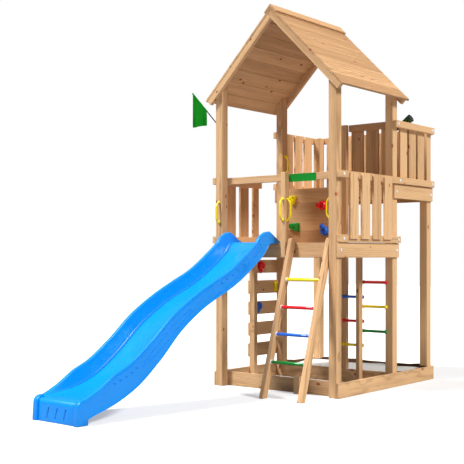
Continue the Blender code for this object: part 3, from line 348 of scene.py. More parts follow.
def timber_paint(name, runs, seed, deeper):
    """Planed softwood: rings about each timber's own heart, fibres, broad streaks and a few knots; deeper is a
    whole-timber offset of painted shade, or painted light below zero, partly board tone.
    """
    colours = bpy.context.scene.tower_colours
    paint = Paint(name)
    x, y, z = paint.tower()
    for count, run in enumerate(runs):
        line = run.lay(x, y, z)
        own = (run.board(x, y, z) if run.board else 0.0) + (seed + 17.3 * count)
        if count == 0:
            (along, side, depth), number = line, own
            continue
        mask = run.where(x, y, z)
        along, side, depth = (old + (new - old) * mask for old, new in zip((along, side, depth), line))
        number = number + (own - number) * mask
    first, second, third = paint.chance(number)
    along = along + first * 6.0
    side = side + (second - 0.5) * 0.16
    depth = depth + (third - 0.5) * 0.16
    spots = paint.cells(paint.vector(along * KNOTS_ALONG, side * KNOTS_ACROSS, depth * KNOTS_ACROSS), 1.0)
    heart = 1.0 - paint.step(spots, 0.085, 0.120)
    swell = 1.0 - paint.step(spots, 0.10, 0.42)
    wander = paint.noise(paint.vector(along * 1.1, side * 5.0, depth * 5.0), 1.0, 2.0)
    radius = (side * side + depth * depth).use("SQRT")
    ring = radius + (wander - 0.5) * 0.055 + swell * 0.008
    bands = (ring * (math.tau / RING_PITCH)).use("SINE") * 0.5 + 0.5
    late = bands ** 2.2
    fibre = paint.noise(paint.vector(along * 5.0, side * FIBRES_ACROSS, depth * FIBRES_ACROSS), 1.0, 3.0, 0.6)
    broad = paint.noise(paint.vector(along * 0.7, side * 16.0, depth * 16.0), 1.0, 2.0)
    # deeper adds the node's painted shade (darker) or painted light (paler) over the whole timber
    shade = (late * LATE_SHARE + (fibre - 0.5) * FIBRE_SHARE + (broad - 0.5) * BROAD_SHARE
             + (first - 0.5) * BOARD_SHARE + (BASE_SHARE + deeper))
    body = paint.mix(shade.use("MAXIMUM", 0.0).use("MINIMUM", 1.0), colours.timber, colours.timber_dark)
    rim = paint.step(spots, 0.03, 0.10)
    knot = paint.mix(rim, colours.knot, toned(colours.knot, 1.7))
    paint.bump(fibre * 0.5 + late * 0.35 + heart * 0.3, 0.22, 0.0008)
    return paint.finish(paint.mix(heart * 0.9, body, knot), 0.56 + fibre * 0.16 - heart * 0.12,
                        specular_ior_level=0.34)


def moulded_paint(name, colour, gloss=0.24, coat=0.25, grain=900.0):
    """Moulded plastic: faint unevenness of tone and gloss, a fine moulded skin and light scuffs."""
    paint = Paint(name)
    x, y, z = paint.tower()
    place = paint.vector(x, y, z)
    cloud = paint.noise(place, 6.0, 3.0)
    skin = paint.noise(place, grain, 2.0)
    scuff = paint.step(paint.noise(paint.vector(x * 40.0, y * 9.0, z * 40.0), 1.0, 4.0, 0.7), 0.60, 0.72)
    tone = paint.mix(cloud, toned(colour, 0.90), toned(colour, 1.06))
    paint.bump(skin, 0.05, 0.0003)
    return paint.finish(paint.mix(scuff * 0.10, tone, toned(colour, 0.97, 0.03)),
                        gloss + cloud * 0.06 + scuff * 0.08, coat_weight=coat, coat_roughness=0.08)


def enamel_paint(name, colour):
    """Painted tube: smooth enamel with a slight ripple and dulled patches from hands and feet."""
    paint = Paint(name)
    place = paint.vector(*paint.tower())
    ripple = paint.noise(place, 120.0, 2.0)
    wear = paint.step(paint.noise(place, 22.0, 4.0, 0.65), 0.52, 0.68)
    paint.bump(ripple, 0.06, 0.0005)
    tone = paint.mix(wear * 0.22, colour, toned(colour, 0.78, 0.02))
    return paint.finish(tone, 0.20 + wear * 0.16, coat_weight=0.2, coat_roughness=0.1)


def cloth_paint(name, colour, thread, across):
    """Plain woven cloth: threads over and under each other in the two directions given."""
    paint = Paint(name)
    place = paint.tower()
    first = (place[across[0]] * (math.tau / thread)).use("SINE")
    second = (place[across[1]] * (math.tau / thread)).use("SINE")
    weave = first * second * 0.5 + 0.5
    slub = paint.noise(paint.vector(*place), 90.0, 3.0)
    fade = paint.noise(paint.vector(*place), 9.0, 2.0)
    shade = weave * 0.35 + slub * 0.35 + fade * 0.30
    paint.bump(weave * 0.7 + slub * 0.3, 0.35, 0.0004)
    return paint.finish(paint.mix(shade, toned(colour, 0.72), toned(colour, 1.25)), 0.80 + slub * 0.12,
                        specular_ior_level=0.15)


def sand_paint(name, colour):
    """Dry sand: single grains, darker and paler specks, and soft damp patches."""
    paint = Paint(name)
    place = paint.vector(*paint.tower())
    grains = paint.noise(place, 620.0, 3.0, 0.7)
    specks = paint.cells(place, 330.0)
    damp = paint.noise(place, 5.0, 3.0)
    shade = grains * 0.5 + specks * 0.3 + damp * 0.3
    paint.bump(grains * 0.6 + specks * 0.4, 0.8, 0.002)
    return paint.finish(paint.mix(shade, toned(colour, 0.66), toned(colour, 1.18)), 0.92)


def clear_selection():
    """Leave edit mode and select nothing."""
    if bpy.context.object and bpy.context.object.mode != "OBJECT":
        bpy.ops.object.mode_set(mode="OBJECT")
    bpy.ops.object.select_all(action="DESELECT")


def pick(*objects):
    """Select these objects alone, the first one active."""
    clear_selection()
    for item in objects:
        item.select_set(True)
    bpy.context.view_layer.objects.active = objects[0]


def apply_modifiers(item):
    pick(item)
    for modifier in list(item.modifiers):
        bpy.ops.object.modifier_apply(modifier=modifier.name)


def settle(item):
    """Put the piece's place into its mesh."""
    pick(item)
    bpy.ops.object.transform_apply(location=True, rotation=True, scale=True)


def laid(item, turn, place):
    """Turn a piece by degrees about X, Y and Z, move it to a place, and put both into its mesh."""
    item.rotation_euler = [math.radians(angle) for angle in turn]
    item.location = place
    settle(item)
    return item


def soften(item, width, degrees):
    """Round the edges that are sharper than an angle."""
    edge = item.modifiers.new("edge", "BEVEL")
    edge.width = width
    edge.segments = 3
    edge.limit_method = "ANGLE"
    edge.angle_limit = math.radians(degrees)
    apply_modifiers(item)


def choose(item, kind, test):
    """Select the edges or faces that pass a test, and no others, of a piece in edit mode."""
    shape = bmesh.from_edit_mesh(item.data)
    for part in getattr(shape, kind):
        part.select = test(part)
    bmesh.update_edit_mesh(item.data)


def edit(item):
    """Open a piece for editing."""
    pick(item)
    bpy.ops.object.mode_set(mode="EDIT")


def outward(item):
    """Merge doubles and turn the faces outwards."""
    edit(item)
    bpy.ops.mesh.select_all(action="SELECT")
    bpy.ops.mesh.remove_doubles(threshold=0.00002)
    bpy.ops.mesh.normals_make_consistent(inside=False)
    bpy.ops.object.mode_set(mode="OBJECT")


def thickened(sheet, thickness):
    """Give a flat sheet its thickness; its area before that."""
    flat = sum(face.area for face in sheet.data.polygons)
    weight = sheet.modifiers.new("cloth", "SOLIDIFY")
    weight.thickness = thickness
    weight.offset = 0.0
    apply_modifiers(sheet)
    outward(sheet)
    return flat


def seat(item, name, paint, replaces=(), angle=35, body="tower"):
    """Finish a piece: its name, smooth shading, material and body, and hide the CAD parts it stands for."""
    settle(item)
    item.name = name
    item.data.name = name
    item.data.materials.clear()
    item.data.materials.append(paint)
    pick(item)
    bpy.ops.object.shade_smooth_by_angle(angle=math.radians(angle))
    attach(item, body)
    if replaces:
        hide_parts(*replaces)
    clear_selection()


def turned(profile, sides=32):
    """A piece turned about Z: a disc extruded and resized through (radius, height) steps, bottom first."""
    clear_selection()
    radius, height = profile[0]
    bpy.ops.mesh.primitive_circle_add(vertices=sides, radius=radius, fill_type="NGON", location=(0, 0, height))
    item = bpy.context.object
    settle(item)
    edit(item)
    bpy.ops.mesh.select_all(action="SELECT")
    for wide, high in profile[1:]:
        bpy.ops.mesh.extrude_region_move(TRANSFORM_OT_translate={"value": (0, 0, high - height)})
        share = wide / radius
        bpy.ops.transform.resize(value=(share, share, 1), center_override=(0, 0, high))
        radius, height = wide, high
    outward(item)
    return item


def grid(columns, rows):
    """A flat grid, whose points are then moved."""
    clear_selection()
    bpy.ops.mesh.primitive_grid_add(x_subdivisions=columns, y_subdivisions=rows, size=1.0)
    return bpy.context.object


def block(middle, size):
    """A plain block, open for editing."""
    clear_selection()
    bpy.ops.mesh.primitive_cube_add(size=1.0, location=middle)
    item = bpy.context.object
    item.scale = size
    settle(item)
    edit(item)
    return item


def copy_of(item):
    """A copy with its own mesh."""
    made = item.copy()
    made.data = item.data.copy()
    bpy.context.collection.objects.link(made)
    return made


def merged_copy(node):
    """A copy of a CAD node's shape with its loose triangles merged."""
    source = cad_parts[node]
    made = bpy.data.objects.new(node + "_shape", source.data.copy())
    bpy.context.collection.objects.link(made)
    outward(made)
    return made


def joined(items):
    """Several pieces as one object."""
    pick(*items)
    if len(items) > 1:
        bpy.ops.object.join()
    return bpy.context.object


def swept(points, radius, sides=5):
    """A round bar along a smooth line through points."""
    clear_selection()
    bpy.ops.curve.primitive_nurbs_path_add(location=(0, 0, 0))
    item = bpy.context.object
    spline = item.data.splines[0]
    points = [Vector(point) for point in points]
    while len(points) < len(spline.points):
        points = [points[0]] + [p for a, b in zip(points, points[1:]) for p in (a.lerp(b, 0.5), b)]
    spline.points.add(len(points) - len(spline.points))
    for spot, place in zip(spline.points, points):
        spot.co = (*place, 1.0)
    spline.use_endpoint_u = True
    spline.order_u = 3
    spline.resolution_u = 6
    item.data.bevel_depth = radius
    item.data.bevel_resolution = sides
    item.data.use_fill_caps = True
    pick(item)
    bpy.ops.object.convert(target="MESH")
    outward(bpy.context.object)
    return bpy.context.object


def timber_runs():
    """For each timber node, the runs of its grain: boards and rails first, then what differs from them."""
    sides = Run("y", lambda x, y, z: abs(x - RIDGE_X) > RIDGE_X, lambda x, y, z: x > RIDGE_X)
    joists = Run("y", None, every("x", 0.0, JOIST_PITCH))
    runs = {
        "base_board_front": [Run("x"), Run("z", lambda x, y, z: y < 0.0899)],
        "lower_deck": [
            joists,
            Run("x", lambda x, y, z: z > LOWER_DECK - BOARD - NEAR, every("y", 0.1045, 0.1589)),
            Run("x", lambda x, y, z: y < 0.1119),
            sides,
        ],
        "upper_deck": [
            joists,
            Run("x", lambda x, y, z: z > UPPER_DECK - BOARD - NEAR, every("y", LOWER_DEPTH, 0.14775)),
            Run("x", lambda x, y, z: y > FULL_DEPTH),
            sides,
        ],
        "climbing_wall": [Run("y", None, every("z", 0.209, 0.227)), Run("z", lambda x, y, z: x > 0.0)],
        "partition_panel": [Run("x", None, every("z", LOWER_DECK, 0.1523))],
        "ridge_cap": [Run("y", None, lambda x, y, z: x > RIDGE_X)],
    }
    for node in ("roof_left", "roof_right"):
        runs[node] = [Run("y", None, roof_course), Run("slope", lambda *p: roof_depth(*p) > ROOF_BOARD)]
    # A fence: the axis across it, its planks' seam with the rails and side of it, its rails, first plank and pitch
    for node, across, seam, side, (bottom, top, below), first, pitch in (
            ("fence_right", "x", WIDTH + RAIL - 0.0005, 1, PLATFORM_RAILS, 0.110, 0.213),
            ("fence_left", "x", 0.0005 - RAIL, -1, PLATFORM_RAILS, 0.208, 0.213),
            ("lookout_fence_right", "x", WIDTH + 0.0005, -1, LOOKOUT_RAILS, 1.184, 0.187),
            ("lookout_fence_left", "x", -0.0004, 1, LOOKOUT_RAILS, 1.184, 0.187),
            ("lookout_fence_rear", "y", FULL_DEPTH + 0.0005, -1, LOOKOUT_RAILS, 0.107, 0.213),
            ("lookout_fence_front", "y", LOWER_DEPTH + 0.0005, 1, LOOKOUT_RAILS, 0.917, 0.183)):
        along = "y" if across == "x" else "x"
        runs[node] = [Run(along, None, every("z", below, RAIL_SPLIT)),
                      Run("z", planks(across, seam, side, (bottom, top)), every(along, first, pitch))]
    for grain, nodes in (
            ("x", ("base_board_rear", "base_divider", "front_rail")),
            ("y", ("base_board_left", "base_board_right")),
            ("z", (*(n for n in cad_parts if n.startswith("post_")), "entrance_post", "partition_stud",
                   "rung_stud")),
            ("lean", ("ladder_stile_left", "ladder_stile_right"))):
        for node in nodes:
            runs[node] = [Run(grain)]
    return runs


def finish_timber():
    """Give every timber node its grain."""
    for count, (node, runs) in enumerate(sorted(timber_runs().items())):
        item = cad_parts[node]
        item.data.materials.clear()
        item.data.materials.append(timber_paint("timber_" + node, runs, 3.7 * count, TIMBER_SHADE_LIGHT_AND_TONE.get(node, 0.0)))


def smooth_value(points, t):
    """A smooth curve through (t, value) points, monotone between them."""
    if t <= points[0][0]:
        return points[0][1]
    if t >= points[-1][0]:
        return points[-1][1]
    slopes = [(b[1] - a[1]) / (b[0] - a[0]) for a, b in zip(points, points[1:])]
    tangents = [slopes[0]]
    for before, after in zip(slopes, slopes[1:]):
        tangents.append(0.0 if before * after <= 0 else 2 * before * after / (before + after))
    tangents.append(slopes[-1])
    i = max(k for k in range(len(slopes)) if t >= points[k][0])
    (t0, v0), (t1, v1) = points[i], points[i + 1]
    span = t1 - t0
    s = (t - t0) / span
    return (v0 * (2 * s ** 3 - 3 * s ** 2 + 1) + tangents[i] * span * (s ** 3 - 2 * s ** 2 + s)
            + v1 * (3 * s ** 2 - 2 * s ** 3) + tangents[i + 1] * span * (s ** 3 - s ** 2))


def slide_bed(y):
    """Height of the bed's middle line in front of the tower."""
    line = [(-0.14, SLIDE_TOP), (0.03, SLIDE_TOP), (0.15, 1.373), (0.30, 1.267), (0.60, 1.089), (0.90, 0.964),
            (1.05, 0.896), (1.35, 0.724), (1.65, 0.488), (1.95, 0.304), (2.25, 0.215), (2.40, 0.196),
            (2.45, 0.191), (2.50, 0.180)]
    return smooth_value(line, -y)


def slide_wall(y):
    """Height of the side wall above the bed."""
    return smooth_value([(-0.14, 0.006), (0.05, 0.120), (0.10, 0.145), (0.25, 0.140), (1.0, 0.130), (1.7, 0.140),
                         (2.05, 0.135), (2.35, 0.050), (2.43, 0.024), (2.50, 0.010)], -y)


def slide_skirt(y):
    """How far the outer skirt hangs below the bed."""
    return smooth_value([(-0.14, 0.006), (-0.02, 0.006), (0.08, 0.018), (1.0, 0.030), (1.7, 0.065), (2.1, 0.098),
                         (2.35, 0.125), (2.46, 0.150)], -y)


def slide_up(y):
    """The direction straight up from the bed."""
    slope = (slide_bed(y + SLOPE_STEP) - slide_bed(y - SLOPE_STEP)) / (2 * SLOPE_STEP)
    return Vector((0, -slope, 1)).normalized()


def slide_half(wall, skirt):
    """The section's outer face from the bed's middle to the hem, as a fine rounded line."""
    bend = min(0.022, wall * 0.5)
    crest, flat = SLIDE_HALF_CREST, SLIDE_HALF_BED
    coarse = [
        (0.0, 0.0), (flat * 0.5, 0.0), (flat - 0.012, 0.0), (flat, bend * 0.2), (flat + 0.008, bend * 0.9),
        (flat + 0.016, bend + (wall - bend) * 0.55),
        (crest - 0.016, bend + (wall - bend) * 0.88), (crest - 0.010, wall * 0.985), (crest, wall),
        (crest + 0.012, wall * 0.985), (crest + 0.018, wall - min(0.014, (wall + skirt) * 0.2)),
        (crest + 0.0185, (wall - skirt) / 2), (SLIDE_HALF_WIDTH - 0.004, -skirt * 0.8), (SLIDE_HALF_WIDTH, -skirt),
    ]
    fine = [coarse[0]]
    for before, here, after in zip(coarse, coarse[1:], coarse[2:]):
        for share in (0.30, 0.65, 1.0):
            first = Vector(before).lerp(Vector(here), 0.5 + share / 2)
            second = Vector(here).lerp(Vector(after), share / 2)
            fine.append(tuple(first.lerp(second, share)))
    fine.append(coarse[-1])
    return fine


def slide_line(y):
    """The whole section at a distance y, from the left hem to the right."""
    up = slide_up(y)
    middle = Vector((SLIDE_X, y, slide_bed(y)))
    half = slide_half(slide_wall(y), slide_skirt(y))
    line = []
    for side, points in ((-1, half[:0:-1]), (1, half)):
        for out, high in points:
            place = middle + up * high
            line.append(at(SLIDE_X + side * out, place.y, max(place.z, 0.0015)))
    return line


def slide_channel(sizes):
    """The slide's skin: a grid laid along the wave, its points moved to the section."""
    steps = sizes.slide_steps
    across = len(slide_line(0.0))
    item = grid(across - 1, steps - 1)
    order = sorted(item.data.vertices, key=lambda v: (round(-v.co.y, 5), round(v.co.x, 5)))
    for row in range(steps):
        y = SLIDE_BACK + (SLIDE_END - SLIDE_BACK) * row / (steps - 1)
        for vertex, place in zip(order[row * across:(row + 1) * across], slide_line(y)):
            vertex.co = place
    outward(item)
    skin = item.modifiers.new("skin", "SOLIDIFY")
    skin.thickness = sizes.slide_skin
    skin.offset = -1.0
    apply_modifiers(item)
    return item


def rounded_block(low, high, nose, lean, edge):
    """A block with its top front edge rounded by nose and its bottom front edge pushed forward by lean."""
    item = block((low + high) / 2, high - low)
    bpy.ops.mesh.select_mode(type="EDGE")
    for front in (True, False):
        choose(item, "edges", lambda line: abs((line.verts[0].co - line.verts[1].co).x) > NEAR
               and (line.verts[0].co + line.verts[1].co).y / 2 < low.y + NEAR
               and ((line.verts[0].co + line.verts[1].co).z / 2 > high.z - NEAR) == front)
        if front:
            bpy.ops.transform.translate(value=(0, lean, 0))
            bpy.ops.mesh.bevel(offset=nose, segments=9, affect="EDGES")
    clear_selection()
    soften(item, edge, 40)
    outward(item)
    return item


def combine(item, other, operation):
    """Join or cut one shape with another, which is used up; a lost shape is an error."""
    before = item.dimensions.copy()
    work = item.modifiers.new("shape", "BOOLEAN")
    work.operation = operation
    work.solver = "EXACT"
    work.object = other
    apply_modifiers(item)
    bpy.data.objects.remove(other, do_unlink=True)
    bpy.context.view_layer.update()
    if min(item.dimensions[i] - before[i] * 0.98 for i in range(3)) < 0:
        raise RuntimeError("the shape was lost in a " + operation.lower())
    return item


def slide_foot():
    """The moulded foot: the bed's lip over a sunk panel with three slots, between two rounded flanges."""
    lip = SLIDE_HALF_BED + 0.020
    panel = rounded_block(at(SLIDE_X - lip, SLIDE_FOOT + 0.018, 0.0003), at(SLIDE_X + lip, SLIDE_FOOT + 0.110, 0.187),
                          0.045, 0.014, 0.003)
    slots = []
    for out in (-0.105, 0.0, 0.105):
        middle = SLIDE_X + out
        line = [at(middle + x, SLIDE_FOOT + y, z)
                for x, y, z in ((-0.012, 0.0185, 0.032), (-0.004, 0.0215, 0.075), (0.010, 0.0275, 0.120))]
        slots.append(swept(line, 0.0085, 3))
    combine(panel, joined(slots), "DIFFERENCE")
    for side in (-1, 1):
        inner, outer = sorted((SLIDE_X + side * (lip - 0.003), SLIDE_X + side * (SLIDE_HALF_WIDTH + 0.0006)))
        flange = rounded_block(at(inner, SLIDE_FOOT, 0.0), at(outer, SLIDE_FOOT + 0.122, 0.206), 0.058, 0.012, 0.006)
        combine(panel, flange, "UNION")
    return panel


def wall_mark(side, points, radius):
    """A groove's cutter: a bar along the outer wall through (y, height above the bed) points."""
    line = []
    for y, high in points:
        place = Vector((SLIDE_X, y, slide_bed(y))) + slide_up(y) * high
        wall, skirt = slide_wall(y), slide_skirt(y)
        below = max(0.0, ((wall - skirt) / 2 - high) / ((wall + skirt * 0.6) / 2))
        out = SLIDE_HALF_CREST + 0.0180 + 0.0025 * below
        line.append(at(SLIDE_X + side * out, place.y, place.z))
    return swept(line, radius, 2)


def slide_marks():
    """Sets of grooves in both outer walls: the rim line, long lines and a lens, and short dashes."""
    rims, upper, lower, dashes = [], [], [], []
    for side in (-1, 1):
        rim = [(y, slide_wall(y) - 0.027) for y in (-0.06 - 2.14 * t / 24 for t in range(25))]
        rims.append(wall_mark(side, rim, 0.0040))
        for kept, start, end, low, high in ((upper, 0.12, 0.66, 0.022, 0.092), (lower, 0.13, 0.90, -0.008, 0.058)):
            points = [(-start - (end - start) * t, low + (high - low) * (1 - t) ** 1.4)
                      for t in (0, 0.2, 0.4, 0.6, 0.8, 1)]
            kept.append(wall_mark(side, points, 0.0052))
        for kept, bow in ((upper, 1), (lower, -1)):
            points = [(-1.18 - 0.62 * t, 0.036 + bow * (0.010 + 0.021 * math.sin(math.pi * t)))
                      for t in (0, 0.12, 0.3, 0.5, 0.7, 0.88, 1)]
            kept.append(wall_mark(side, points, 0.0050))
        for first, pitch, base in ((0.40, 0.085, 0.064), (1.84, 0.068, 0.050)):
            for i in range(5):
                y = -first - pitch * i
                dash = [(y, base), (y - 0.012, base + 0.010), (y - 0.024, base + 0.020)]
                dashes.append(wall_mark(side, dash, 0.0055))
    return rims, upper, lower, dashes


def make_slide(sizes, colours):
    """The wave slide in one moulding."""
    channel = combine(slide_channel(sizes), slide_foot(), "UNION")
    for marks in slide_marks():
        combine(channel, joined(marks), "DIFFERENCE")
    paint = moulded_paint("slide_moulding", colours.slide, 0.24, 0.10, 700.0)
    seat(channel, "slide_moulding", paint, ["slide"], angle=40)


def make_handles(sizes, paint):
    """Five grab handles: a bent bar on two domed feet, each with its screw plug."""
    top = 0.103
    reach = 0.056 - sizes.grip_radius
    bend = [(0.010, 0, top - 0.001), (0.017, 0, top - 0.004), (0.031, 0, top - 0.019), (0.043, 0, top - 0.036),
            (reach, 0, top - 0.052), (reach, 0, top - 0.070), (reach, 0, 0)]
    points = bend + [(x, y, -z) for x, y, z in reversed(bend[:-1])]
    places = {
        "entrance_front": ((0.8495, 0.022 - HALF_GAP, 1.804), -90),
        "entrance_side": ((0.876 + HALF_GAP, 0.056, 1.804), 0),
        "front_left": ((0.045, -HALF_GAP, 1.798), -90),
        "front_right": ((WIDTH - POST - HALF_GAP, 0.045, 1.804), 180),
        "lookout": ((POST + HALF_GAP, 1.086, 2.3615), 0),
    }
    for name, (place, turn) in places.items():
        pieces = [swept(points, sizes.grip_radius)]
        for z in (top, -top):
            foot = turned([(0.0160, 0.0003), (0.0160, 0.005), (0.0150, 0.010), (0.0125, 0.0155), (0.0090, 0.0195),
                           (0.0040, 0.021), (0.0036, 0.0198), (0.0010, 0.0198)], 24)
            pieces.append(laid(foot, (0, 90, 0), (0, 0, z)))
        grip = laid(joined(pieces), (0, 0, turn), at(*place))
        seat(grip, "grip_" + name, paint, ["handle_" + name])


def make_holds(paints):
    """Seven climbing holds: their moulded shapes with softened edges."""
    for node in sorted(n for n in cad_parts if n.startswith("hold_")):
        colour = node.rsplit("_", 1)[1]
        hold = merged_copy(node)
        soften(hold, 0.0025, 28)
        seat(hold, node.replace("hold_", "grasp_"), paints[colour], [node], angle=60)


def ladder_y(z):
    return LADDER_FOOT_Y + LADDER_RUN * z


def make_rungs(sizes, enamels, white):
    """The ladder's rungs with white collars, and the ball-ended rungs under the platform."""
    left, right = LADDER_INSIDE
    for colour, z in zip(HUES, (1.118, 0.853, 0.598, 0.337)):
        half = (right - left) / 2 - HALF_GAP
        radius = sizes.rung_radius
        rung = turned([(radius - 0.003, -half), (radius - 0.001, 0.001 - half), (radius, 0.003 - half),
                       (radius, half - 0.003), (radius - 0.001, half - 0.001), (radius - 0.003, half)])
        laid(rung, (0, 90, 0), at((left + right) / 2, ladder_y(z), z))
        seat(rung, "step_" + colour, enamels[colour], ["ladder_rung_" + colour])
        wide = sizes.collar_radius
        collars = []
        for x, turn in ((left + HALF_GAP * 2, 90), (right - HALF_GAP * 2, -90)):
            collar = turned([(wide, 0.0), (wide, 0.003), (wide - 0.002, 0.005), (radius + 0.002, 0.006)])
            collars.append(laid(collar, (0, turn, 0), at(x, ladder_y(z), z)))
        seat(joined(collars), "step_collars_" + colour, white)
    ball = 0.0192
    bar = 0.0145
    y = (1.013 + 1.052) / 2
    spans = {"left": (0.909, 1.145), "right": (1.158, 1.420)}
    for node in sorted(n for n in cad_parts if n.startswith("climb_rung_")):
        side, colour = node.split("_")[2:]
        low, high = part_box(node)
        z = (low.z + high.z) / 2 - CORNER.z
        half = (spans[side][1] - spans[side][0]) / 2
        neck = math.sqrt(ball ** 2 - bar ** 2)
        arc = [(ball * math.cos(math.radians(a)), half + ball * math.sin(math.radians(a)))
               for a in (82, 70, 55, 40, 25, 10, -5, -20, -32)]
        upper = arc + [(bar, half - neck - 0.001)]
        profile = [(r, -h) for r, h in upper] + [(r, h) for r, h in reversed(upper)]
        rung = laid(turned(profile, 28), (0, 90, 0), at(sum(spans[side]) / 2, y, z))
        seat(rung, "bar_" + side + "_" + colour, enamels[colour], [node])


def make_telescope():
    """The toy telescope: green flared barrel, black rim and eye cup, and a dark lens."""
    black = moulded_paint("moulding_black", BLACK, 0.38, 0.1)
    green = moulded_paint("telescope_barrel", GREEN_BARREL, 0.20, 0.4)
    glass = moulded_paint("telescope_lens", LENS_BLACK, 0.05, 0.8)
    profiles = {
        "barrel": [(0.0210, -0.140), (0.0225, -0.074), (0.0255, -0.070), (0.0295, 0.0), (0.0390, 0.066),
                   (0.0412, 0.0820), (0.0425, 0.1060)],
        "hood": [(0.0415, 0.1052), (0.0430, 0.1062), (0.0430, 0.1100), (0.0420, 0.1120), (0.0385, 0.1120),
                 (0.0365, 0.1062)],
        "eye_cup": [(0.0130, -0.1560), (0.0150, -0.1640), (0.0210, -0.1640), (0.0240, -0.1600), (0.0240, -0.1460),
                    (0.0212, -0.1402)],
        "lens": [(0.0362, 0.1060), (0.0280, 0.1076), (0.0140, 0.1088), (0.0030, 0.1092)],
    }
    for name, profile in profiles.items():
        paint = {"barrel": green, "lens": glass}.get(name, black)
        piece = laid(turned(profile, 40), (0, 90 - TELESCOPE_TILT, 0), at(*PIVOT))
        seat(piece, "telescope_" + name, paint,
             ["telescope_tube"] if name == "barrel" else (), body="telescope_tube")
    bosses = []
    for side in (-1, 1):
        boss = turned([(0.0130, 0.020), (0.0130, 0.0325), (0.0122, 0.0338), (0.0070, 0.0338)], 28)
        bosses.append(laid(boss, (-90 * side, 0, 0), at(*PIVOT)))
    seat(joined(bosses), "telescope_bosses", green, body="telescope_tube")
    for node, body in (("telescope_yoke", "telescope_yoke"), ("telescope_bracket", "tower")):
        seat(merged_copy(node), node + "_moulding", black, [node], angle=40, body=body)


def pole_z(x):
    return POLE_FOOT_Z - POLE_SLOPE * x


def make_flag():
    """The slanting pole and the plain cloth hung under it, with its sewn hem."""
    dark = enamel_paint("pole_enamel", POLE_BLACK)
    end = FLAG_OUTER - 0.003
    pole = swept([at(x, FLAG_Y, pole_z(x)) for x in (-0.004, -0.1, -0.2, -0.3, end)], POLE_RADIUS, 4)
    foot = turned([(0.0140, 0.0003), (0.0140, 0.004), (0.0125, 0.0095), (0.0080, 0.012)], 24)
    laid(foot, (0, -90, 0), at(0, FLAG_Y, POLE_FOOT_Z + 0.003))
    seat(joined([pole, foot]), "pole_with_foot", dark, ["flag_pole"])

    lean = math.atan2(1, POLE_SLOPE)
    under = (POLE_RADIUS + 0.0018) / math.sin(lean)
    cloth = grid(60, 60)
    for vertex in cloth.data.vertices:
        u = 0.5 - vertex.co.x
        v = 0.5 - vertex.co.y
        x = FLAG_INNER + (FLAG_OUTER - FLAG_INNER) * u
        high = pole_z(x) - under
        low = 2.724 - 0.008 * u
        hang = v ** 0.7
        fold = 0.009 * hang * math.sin(math.tau * (1.35 * u + 0.1)) + 0.003 * hang * math.sin(math.tau * 2.7 * u)
        fold += 0.0012 * hang * math.sin(math.tau * (5.3 * u + 0.6 * v))
        vertex.co = at(x, FLAG_Y + fold, high + (low - high) * v)
    flat = thickened(cloth, FLAG_THICK)
    paint = cloth_paint("flag_weave", GREEN_CLOTH, 0.0016, (0, 2))
    seat(cloth, "flag_cloth", paint, ["flag"], angle=60)
    sleeve = swept([at(x, FLAG_Y, pole_z(x)) for x in (FLAG_INNER, -0.21, -0.26, -0.31, end - 0.001)],
                   POLE_RADIUS + 0.0016, 4)
    seat(sleeve, "flag_sleeve", paint)


def make_sandpit(colours):
    """Raked dry sand, and the ground cloth that stands round it along the boards."""
    heap = merged_copy("sand")
    edit(heap)
    choose(heap, "faces", lambda face: face.normal.z > 0.5)
    bpy.ops.mesh.subdivide(number_cuts=3)
    bpy.ops.object.mode_set(mode="OBJECT")
    low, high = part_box("sand")
    for vertex in heap.data.vertices:
        inside = min(vertex.co.x - low.x, high.x - vertex.co.x, vertex.co.y - low.y, high.y - vertex.co.y)
        if vertex.co.z > low.z + 0.05 and inside > 0.002:
            x, y = vertex.co.x - CORNER.x, vertex.co.y - CORNER.y
            vertex.co.z += 0.0016 * math.sin(41 * x + 9 * y) * math.sin(37 * y - 11 * x)
            vertex.co.z += 0.0008 * math.sin(103 * x - 57 * y) * math.sin(88 * y + 23 * x)
    outward(heap)
    seat(heap, "sand_heap", sand_paint("sand_grains", colours.sand), ["sand"], angle=60)

    gap = 0.005
    rear = FULL_DEPTH - POST
    right = WIDTH - POST
    route = [(gap, LOWER_DEPTH + NEAR), (gap, rear - gap), (POST + gap, rear - gap),
             (POST + gap, FULL_DEPTH - gap), (right - gap, FULL_DEPTH - gap), (right - gap, rear - gap),
             (WIDTH - gap, rear - gap), (WIDTH - gap, LOWER_DEPTH + NEAR)]
    spots = []
    walked = 0.0
    for start, end in zip(route, route[1:]):
        run = Vector(end) - Vector(start)
        side = Vector((-run.y, run.x)).normalized()
        count = max(4, round(run.length / 0.006))
        waves = max(1, round(run.length / 0.096))
        for i in range(count):
            u = i / count
            sway = 0.0022 * math.sin(math.tau * waves * u)
            spots.append((Vector(start) + run * u + side * sway, walked + run.length * u))
        walked += run.length
    spots.append((Vector(route[-1]), walked))
    rows = 8
    cloth = grid(len(spots) - 1, rows)
    order = sorted(cloth.data.vertices, key=lambda v: (round(v.co.x, 5), round(v.co.y, 5)))
    for column, (spot, along) in enumerate(spots):
        hem = 0.147 + 0.009 * math.sin(6.1 * along + 1.0) + 0.005 * math.sin(15.7 * along)
        for row in range(rows + 1):
            order[column * (rows + 1) + row].co = at(spot.x, spot.y, 0.0005 + (hem - 0.0005) * row / rows)
    flat = thickened(cloth, LINER_THICK)
    paint = cloth_paint("ground_cloth_weave", colours.liner, 0.0022, (0, 2))
    seat(cloth, "ground_cloth", paint, ["sand_liner"], angle=60)


